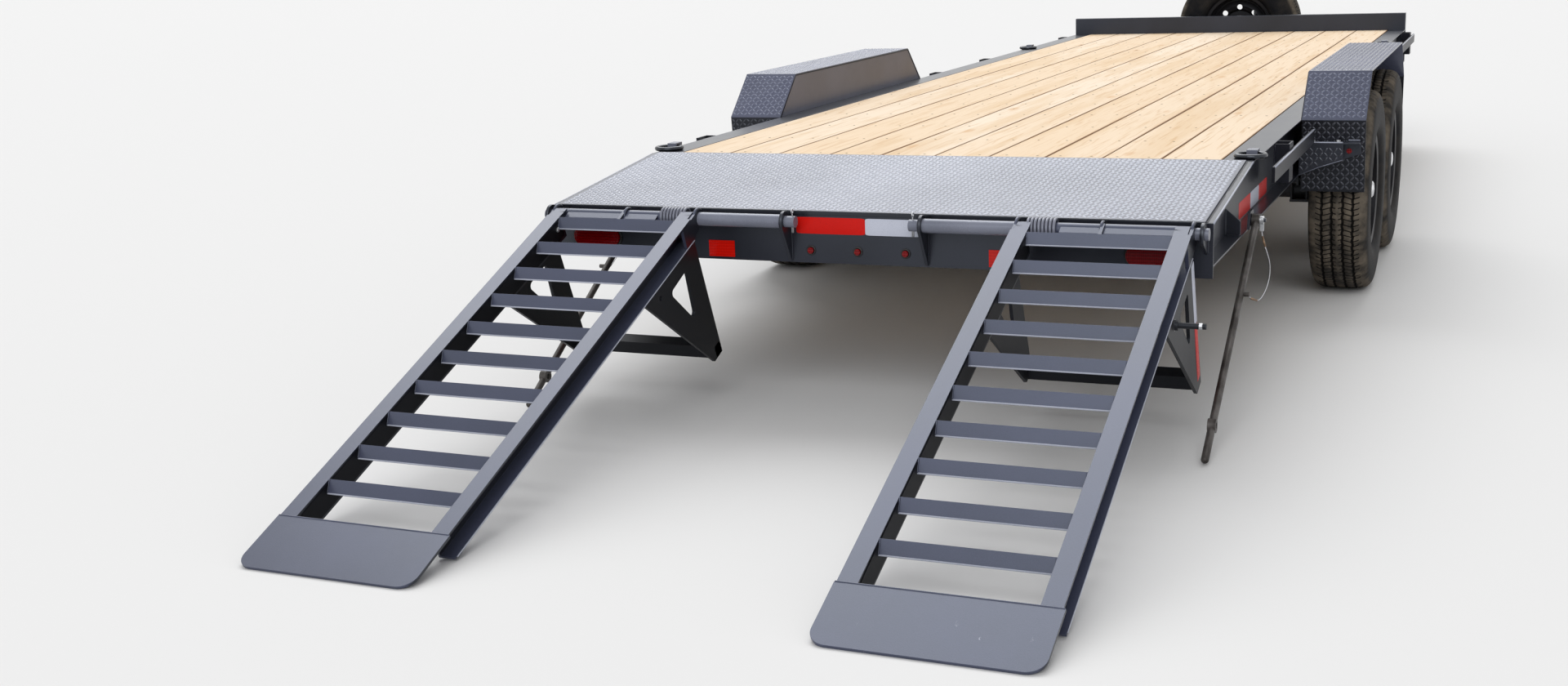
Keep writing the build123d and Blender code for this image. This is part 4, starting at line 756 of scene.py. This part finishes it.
# Fenders: bent from one strip of tread plate each, lugs outwards, on a gusset and shelf at both
# ends. Two plated bolts hold each shelf to the gusset, and the rear gussets have lugs too.
fender_x = 1.1685
fender_wide = 0.226
bend_z = 0.716
fender_line = (
    (1.876, 0.443),
    (1.850, 0.713),
    (2.030, 0.878),
    (3.464, 0.878),
    (3.644, 0.713),
    (3.618, 0.443),
)


def skirt_shade(coat):
    """Painted shade: the skirts below the bends face the ground and are painted nearly black
    between their lugs.
    """
    return coat.fade(bend_z - coat.axis("Z"), 0.0, 0.008)


# The fenders' coat is lighter and bluer than the frame's as painted sky reflection. The skirts take
# painted shade, and the lugs a lighter coat of painted highlight.
fender_sheen_and_shade_coat = powder_coat(
    "fender_sheen_and_shade_coat",
    tone(70, 73, 90),
    tone(84, 87, 106),
    0.24,
    marks=skirt_shade,
    mark_and_shade_tone=tone(18, 18, 22),
    gloss=0.35,
)
fender_lug_highlight_and_shade_coat = powder_coat(
    "fender_lug_highlight_and_shade_coat",
    tone(84, 88, 108),
    tone(100, 104, 126),
    0.18,
    marks=skirt_shade,
    mark_and_shade_tone=tone(52, 52, 58),
)
give(fender_sheen_and_shade_coat, "fender_right", "fender_left")
soften(0.0012, "fender_right", "fender_left")
fields = []
for (y0, z0), (y1, z1) in zip(fender_line[:-1], fender_line[1:]):
    length = math.hypot(y1 - y0, z1 - z0)
    step = np.array([0.0, y1 - y0, z1 - z0]) / length
    out = (0.0, -step[2], step[1])
    middle = at(fender_x, (y0 + y1) / 2, (z0 + z1) / 2)
    fields.append(lug_field(middle, (1, 0, 0), step, out, fender_wide, length - 0.012))


def on_gusset(places):
    """True on the bracket's face, above its sloping lower edge."""
    low = np.interp(places[:, 0], (1.054, 1.124, 1.2686), (0.513, 0.543, 0.589))
    return (places[:, 2] > low + 0.012) & (places[:, 2] < 0.624)


def plate(outline, low, high):
    """A flat plate across the trailer: its (x, z) outline carried from one y to the other, with a
    fan of faces to the outline's middle at both ends."""
    outline = np.array(outline + outline[:1], float)
    ring = np.stack([np.insert(outline, 1, y, axis=1) for y in (low, high)])
    ends = ring[:, :-1].mean(1, keepdims=True).repeat(len(outline), 1)
    return grid(np.concatenate([ends[:1], ring, ends[1:]]) + (0.0, rear, 0.0))


face_rear = 1.7985
face_front = 3.6955
face_thick = 0.0045
face_line = [(1.054, 0.637), (1.210, 0.637), (1.210, 0.5715), (1.124, 0.543), (1.054, 0.513)]
gusset_middle = at(1.132, face_rear, 0.5745)
fields.append(
    lug_field(gusset_middle, (1, 0, 0), (0, 0, 1), (0, -1, 0), 0.156, 0.13, on_gusset)
)
for side, sign in hands:
    lugs = sided(together(fields), sign)
    piece("fender_lugs_" + side, lugs, "chassis", fender_lug_highlight_and_shade_coat, "tread_plate")
faces = [
    plate(face_line, face_rear, face_rear + face_thick),
    plate(face_line, face_front - face_thick, face_front),
]
folded = piece("bracket_faces", both(faces), "chassis", frame_coat, "frame_paint", smooth=False)
folded = folded.modifiers.new("edges", "BEVEL")
folded.width, folded.segments, folded.harden_normals = 0.0014, 2, True

# Painted highlights: light sheets on the shelves' tops and light bars along the faces' edges. A
# dark bar of painted shadow runs under the tread plate's edge.
shelf_z = 0.635
shelf_highlights = [
    sheet(at(1.132, y, shelf_z), (1, 0, 0), (0, 1, 0), (0.073, 0.020), 0.0006)
    for y in (1.8265, 3.6675)
]
piece("shelf_highlights", both(shelf_highlights), "chassis", bar_highlight_coat, "frame_paint")
top_highlights, foot_highlights = [], []
for y in (face_rear, face_front):
    top_highlights.append(tube([at(x, y, 0.6362) for x in (1.056, 1.13, 1.2085)], 0.0020))
    foot_highlights.append(tube([at(x, y, z + 0.001) for x, z in face_line[:1:-1]], 0.0014))
piece("bracket_top_highlights", both(top_highlights), "chassis", edge_highlight_coat, "frame_paint")
piece("bracket_foot_highlights", both(foot_highlights), "chassis", bar_highlight_coat, "frame_paint")
rim_shadow = tube([at(1.0545, y, z - 0.0055) for y, z in fender_line[1:5]], 0.0030)
piece("fender_rim_shadows", both([rim_shadow]), "chassis", side_coat, "frame_paint")

seams, shelf_bolts = [], []
for y in (1.8545, 3.6395):
    seams += [weld(at(x, y, 0.6385), at(x + 0.042, y, 0.6385), 0.0036) for x in (1.058, 1.222)]
for y in (1.822, 3.672):
    shelf_bolts += [bolt(at(x, y, shelf_z), (1, 0, 0), (0, 1, 0)) for x in (1.10, 1.19)]
# The weld beads take the lighter coat of painted highlight.
piece("fender_seams", both(seams), "chassis", bar_highlight_coat, "frame_paint")
piece("fender_bolts", both(shelf_bolts), "chassis", zinc, "zinc", smooth=False)

# Ramps: two welded channels with angle rungs and a flat toe, coated like the frame and scuffed pale
# near the toe of the right-hand one. Their coat is lighter and bluer than the frame's as painted
# sky reflection, with painted shade on faces turned sideways. They hang on a pipe over the bumper's
# hinge shaft.
slope = math.radians(21.529)
hinge_y = -0.045
hinge_z = 0.613
pipe_r = 0.0215
rail_inside = (0.5575, 0.9625)
rung_at = 0.066 + 0.1466 * np.arange(10)
ramp_bead_r = 0.0024


def on_ramp(x, u, v):
    """A point of a ramp at rest: u down the ramp from the hinge, v off its deck."""
    y = hinge_y - u * math.cos(slope) - v * math.sin(slope)
    return at(x, y, hinge_z - u * math.sin(slope) + v * math.cos(slope))


def toe_scuffs(coat):
    """Pale marks where the toe has been dragged and driven over."""
    toe = coat.fade(coat.axis("Y"), rear - 1.52, rear - 1.60) * coat.fade(coat.axis("X"), 0.5, 0.75)
    scratch = coat.noise(34.0, 4.0, (1.0, 0.16, 1.0), 0.7)
    return coat.fade(scratch, 0.66, 0.74) * toe * 0.6


scuff_tone = (0.44, 0.45, 0.51, 1.0)
# Painted sky reflection in the coat's light bluish tone, and painted shade on sideways faces.
ramp_scuffs_sheen_and_shade_coat = powder_coat(
    "ramp_scuffs_sheen_and_shade_coat", tone(62, 66, 83), tone(71, 75, 95), 0.3, 0.0, toe_scuffs, scuff_tone, sides=0.9
)
# The knees and the foot plug take a darker copy of the coat: painted shade under the ramps.
knee_shade_coat = powder_coat("knee_shade_coat", tone(14, 14, 16), tone(22, 22, 26), 0.45, gloss=0.25)
give(ramp_scuffs_sheen_and_shade_coat, "ramp_right", "ramp_left")
give(knee_shade_coat, "ramp_knees_right", "ramp_knees_left")
soften(0.0016, "ramp_right", "ramp_left")
soften(0.0012, "ramp_knees_right", "ramp_knees_left")
down_ramp = on_ramp(0, 1, 0) - on_ramp(0, 0, 0)
off_ramp = on_ramp(0, 0, 1) - on_ramp(0, 0, 0)
ramp_beads = [weld(on_ramp(0.503, 1.5375, 0.0312), on_ramp(1.017, 1.5375, 0.0312), ramp_bead_r)]
for u in rung_at:
    for x in rail_inside:
        bead = (on_ramp(x, u + 0.001, 0.031), on_ramp(x, u + 0.0265, 0.0055))
        ramp_beads.append(weld(*bead, ramp_bead_r))
arc = np.linspace(0.5, 2.9, 20)
for x, reach in ((0.511, 0.0310), (0.756, 0.0262), (1.009, 0.0310)):
    strap = [on_ramp(x, -reach * math.cos(t), reach * math.sin(t)) for t in arc]
    ramp_beads.append(tube(strap, 0.0048))

# A folded plate covers the pipe. Dark sheets of painted shade lie on the rails' inner webs, and
# thin bars of painted highlight run along the rungs' lower edges and the rails' lower lips.
round_pipe = np.linspace(2.4, 1.25, 12)
cover_line = pipe_r * np.stack([-np.cos(round_pipe), np.sin(round_pipe)], -1)
cover_line = np.concatenate([cover_line, [(0.036, 0.0150), (0.056, 0.0080)]])
lower_line = cover_line[::-1] * 0.93 - (0.0, 0.001)
loop = np.concatenate([cover_line, lower_line, cover_line[:1]])
cover = np.array([[on_ramp(x, u, v) for u, v in loop] for x in (0.6400, rail_inside[1])])
middles = cover.mean(1, keepdims=True).repeat(cover.shape[1], 1)
hinge_cover = grid(np.concatenate([middles[:1], cover, middles[1:]]))
web_shade_coat = powder_coat("web_shade_coat", tone(14, 14, 17), tone(21, 21, 25), 0.45, gloss=0.1)
inner_web, outer_web = (on_ramp(x, 0.80, -0.0055) for x in rail_inside)
rail_web_shades = [
    sheet(inner_web, off_ramp, down_ramp, (0.031, 0.734), 0.0004),
    sheet(outer_web, down_ramp, off_ramp, (0.734, 0.031), 0.0004),
]
top_rings = [(0.02, 0), (0, 0), (0, 0.0046), (0.0006, 0.005), (0.02, 0.005)]
rail_tops = [
    pad(on_ramp(x, 0.034, 0.0264), (-1, 0, 0), down_ramp, (0.0200, 0.0220), top_rings, 40.0, 40)
    for x in (0.5365, 0.9835)
]
rail_lip_highlights = [
    tube([on_ramp(x, u, -0.0415) for u in (0.06, 0.8, 1.535)], 0.0024) for x in (0.507, 1.013)
]
rung_edge_highlights = [
    tube([on_ramp(x, u + 0.0262, 0.0042) for x in (0.5575, 0.76, 0.9625)], 0.0022)
    for u in rung_at
]

# A plug closes the knees' foot tube, and a nut and a capped stud hold the brace's catch.
plug_half = 0.021
plug_rings = [(plug_half, 0), (0, 0), (0, 0.016), (0.004, 0.021), (plug_half, 0.021)]
plug_at = on_ramp(0.506, 0.079, -0.437)
foot_plug = pad(plug_at, off_ramp, down_ramp, (plug_half, plug_half), plug_rings, 8.0)
nut_r = 0.0165
nut_rings = [(0.0146, 0), (0, 0), (0, 0.0092), (0.0016, 0.0106), (0.0146, 0.0106)]
nut_at = on_ramp(1.0141, 0.335, -0.075)
stud_r = 0.0088
stud_rings = [(stud_r, 0), (0, 0), (0, 0.0085), (0.0028, 0.0105), (stud_r, 0.0105)]
stud_at = on_ramp(1.0862, 0.335, -0.075)
fixings = [
    pad(nut_at, down_ramp, off_ramp, (nut_r, nut_r), nut_rings, 2.0, 6),
    pad(stud_at, down_ramp, off_ramp, (stud_r, stud_r), stud_rings, 2.0, 20),
    bolt(on_ramp(0.9642, 0.098, 0.004), down_ramp, off_ramp, 0.008, 0.006, 0.0115),
]

# Warning tape down each outer knee's rear leg, white over red.
leg_top = on_ramp(1.0142, 0.070, -0.052)
leg_foot = on_ramp(1.0142, 0.086, -0.440)
leg_long = np.linalg.norm(leg_foot - leg_top)
leg = (leg_foot - leg_top) / leg_long
across_leg = np.cross(leg, (1, 0, 0))
leg_tapes = []
for name, start, finish, film in (("white", 0.0, 0.5, white_tape), ("red", 0.51, 0.97, red_tape)):
    middle = leg_top + (leg_foot - leg_top) * (start + finish) / 2
    size = (0.019, leg_long * (finish - start) / 2)
    leg_tapes.append((name, sheet(middle, across_leg, leg, size, tape_thick), film))

ramp_pieces = (
    ("hinge_cover_", hinge_cover, ramp_scuffs_sheen_and_shade_coat, "frame_paint"),
    ("rail_tops_", together(rail_tops), ramp_scuffs_sheen_and_shade_coat, "frame_paint"),
    ("rail_lip_highlights_", together(rail_lip_highlights), edge_highlight_coat, "frame_paint"),
    ("rung_edge_highlights_", together(rung_edge_highlights), edge_highlight_coat, "frame_paint"),
    ("rail_web_shades_", together(rail_web_shades), web_shade_coat, "frame_paint"),
    ("foot_plug_", foot_plug, knee_shade_coat, "frame_paint"),
    ("ramp_fixings_", together(fixings), zinc, "zinc"),
)
for side, sign in hands:
    body = "ramp_" + side
    beads = sided(together(ramp_beads), sign)
    piece("ramp_welds_" + side, beads, body, ramp_scuffs_sheen_and_shade_coat, "frame_paint")
    for name, shape, finish, slot in ramp_pieces:
        piece(name + side, sided(shape, sign), body, finish, slot, smooth=False)
    for name, shape, film in leg_tapes:
        name = "leg_tape_%s_%s" % (name, side)
        piece(name, sided(shape, sign), body, film, "frame_paint")

# Ramp springs: round spring wire wound eight times over each ramp's hinge pipe, just inside its
# inner rail. They take the ramp's weight as it is lifted by hand.
coil_r = 0.031
coil_wire = 0.0045
coil_turns = 8


def coil(start, finish):
    """A round wire along a helix about the ramps' hinge, from one x to the other: the wire's
    circle stands square to the helix at each step."""
    steps = np.linspace(0, 2 * math.pi * coil_turns, coil_turns * 28 + 1)
    x = start + (finish - start) * (steps / steps[-1])
    y = rear + hinge_y + coil_r * np.cos(steps)
    z = hinge_z + coil_r * np.sin(steps)
    return tube(np.stack([x, y, z], -1), coil_wire, 10)


spring_paint = powder_coat("spring_paint", tone(98, 100, 111), tone(126, 128, 141), 0.22)
for side, sign in hands:
    spring = "ramp_spring_" + side
    low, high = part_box(spring)
    shape = coil(low.x + coil_wire, high.x - coil_wire)
    piece("ramp_coil_" + side, shape, "ramp_" + side, spring_paint, "spring_steel", spring)

# Hinge ends: a plated split pin stands through the inner end of each hinge shaft and keeps the
# ramp's pipe on it. It is one bent wire: an eye on top and two legs that spread underneath.
pin_x = 0.1925
pin_wire = 0.0021
eye_r = 0.006
eye_z = 0.645
pins = []
for spread_x in (-0.002, 0.002):
    line = [at(pin_x + spread_x, hinge_y, hinge_z - down) for down in (0.034, 0.010)]
    line += [at(pin_x, hinge_y, z) for z in (0.6345, 0.640)]
    pins.append(tube(line, pin_wire, 6))
ring_turn = np.linspace(0, 2 * math.pi, 17)
eye = [at(pin_x, hinge_y + eye_r * math.cos(t), eye_z + eye_r * math.sin(t)) for t in ring_turn]
pins.append(tube(eye, pin_wire, 6))
piece("hinge_pins", both(pins), "chassis", zinc, "zinc")

# Braces: a weathered steel bar hung on the beam on each side, which props the ramp when it stands
# up. Its lynch pin is bright plated steel, and brass ferrules close the lanyard's loops.
brace_steel = Finish("brace_steel")
rust = brace_steel.noise(26.0, 5.0, (1.0, 0.4, 0.4))
brace_tone = brace_steel.mix(brace_steel.fade(rust, 0.35, 0.62), tone(84, 80, 78), tone(40, 35, 32))
brace_steel.cover(brace_tone, 0.3 + 0.3 * rust, rust, 0.0005, Metallic=0.3)
give(brace_steel, "brace_arm_right", "brace_arm_left")
give(zinc, "lynch_pin_right", "lynch_pin_left")
brass = bright_metal("ferrule_brass", tone(136, 112, 92), 0.42, 120.0)
middles = (wire_route[:-1] + wire_route[1:]) / 2
ferrules = together([tube(middles[:2], 0.0034), tube(middles[-2:], 0.0034)])
for side, sign in hands:
    name = "lanyard_ferrules_" + side
    piece(name, sided(ferrules, sign), "brace_" + side, brass, "wire")

# Tie-down rings: forged rings in gloss black, each held down by a bent strap that is welded to the
# beam's flange. The straps have the hinge shafts' lighter coat, whose lightness is painted
# highlight.
ring_gloss = powder_coat("ring_black", tone(18, 18, 20), tone(26, 26, 30), 0.16)
give(ring_gloss, "tie_rings")

# Lamps and reflectors: red moulded lenses in black rubber grommets on the bumper, square orange-red
# reflectors and three small round markers. Fine ribs inside the lenses break up the light.
lens = Finish("red_lens")
reach = lens.math("ABSOLUTE", lens.axis("X"))
flat_reflector = (reach > 0.40) * (reach < 0.51)
rib = lens.math("PINGPONG", lens.axis("X"), 0.003)
row = lens.math("PINGPONG", lens.axis("Z"), 0.0045)
cells = rib * 120.0 + row * 90.0
deep = lens.mix(cells, tone(84, 0, 5), tone(150, 1, 8))
bright = lens.mix(cells, tone(176, 10, 2), tone(214, 22, 6))
lens.cover(lens.mix(flat_reflector, deep, bright), 0.12 + 0.08 * cells, cells, 0.0006, IOR=1.35)
give(lens, "tail_lamps", "rear_markers")
grommet_rubber = Finish("grommet_rubber")
dull = grommet_rubber.noise(180.0)
grommet_tone = grommet_rubber.mix(dull, tone(20, 20, 21), tone(34, 34, 36))
grommet_rubber.cover(grommet_tone, 0.6, dull, 0.0004)


def lamp_ring(x, y, z, radius, straight, bar):
    """A round bar along a circle of that radius, which is drawn out to both sides by its straight
    part."""
    turn = np.linspace(0, 2 * math.pi, 33)
    out = straight * np.clip(np.cos(turn) * 4, -1, 1) + radius * np.cos(turn)
    behind = np.full_like(turn, rear + y)
    return tube(np.stack([x + out, behind, z + radius * np.sin(turn)], -1), bar)


marker_step = 0.1524
lamp_x = 0.895
grommets = [
    lamp_ring(x, -0.001, 0.519, 0.0125, 0.0, 0.0032) for x in (0.0, marker_step, -marker_step)
]
grommets += [lamp_ring(x, -0.002, 0.539, 0.031, 0.0545, 0.0045) for x in (lamp_x, -lamp_x)]
piece("lamp_grommets", together(grommets), "chassis", grommet_rubber, "chassis_black")

# Jack and coupler: the drop-leg jack has the running gear's black paint. Its crank, the ball
# coupler and the coupler's latch are zinc plated.
give(zinc, "jack_crank", "coupler_latch", "ball_coupler")
give(gear_paint, "jack_sleeve", "jack_leg")
soften(0.003, "jack_sleeve", "jack_leg")

# Studio: a plain pale floor under a plain bright sky, one broad lamp high over the tongue and a
# weaker one from behind the camera. The sky is white to the camera, to gloss and to glass.
floor_half = 300.0
corners = np.array([[-1, -1, 0], [1, -1, 0], [1, 1, 0], [-1, 1, 0]]) * floor_half
floor_mesh = bpy.data.meshes.new("floor")
floor_mesh.from_pydata(corners, [], [(0, 1, 2, 3)])
floor = bpy.data.objects.new("floor", floor_mesh)
bpy.context.scene.collection.objects.link(floor)
floor_paint = Finish("floor_paint")
floor_paint.cover(tone(226, 226, 226), 0.9)
floor_mesh.materials.append(floor_paint.material)

sky_fill = 0.46
sky = Finish("studio", bpy.data.worlds)
bpy.context.scene.world = sky.material
seen = sky.node("LightPath", out="Is Camera Ray")
for ray in ("Is Glossy Ray", "Is Transmission Ray"):
    seen = sky.math("MAXIMUM", seen, sky.node("LightPath", out=ray))
glow = {"Color": (1, 1, 1, 1), "Strength": sky_fill + seen * (1 - sky_fill)}
sky.end(sky.node("Background", {}, glow), "World")

lamps = (
    ("high", 1.7, 50, (math.radians(-40), 0.0, math.radians(24))),
    ("near", 1.3, 45, (math.radians(56), 0.0, math.radians(10))),
)
for name, power, spread, tilt in lamps:
    lamp = bpy.data.objects.new(name, bpy.data.lights.new(name, "SUN"))
    lamp.data.energy = power
    lamp.data.angle = math.radians(spread)
    lamp.rotation_euler = tilt
    bpy.context.scene.collection.objects.link(lamp)

bpy.context.scene.view_settings.view_transform = "Standard"
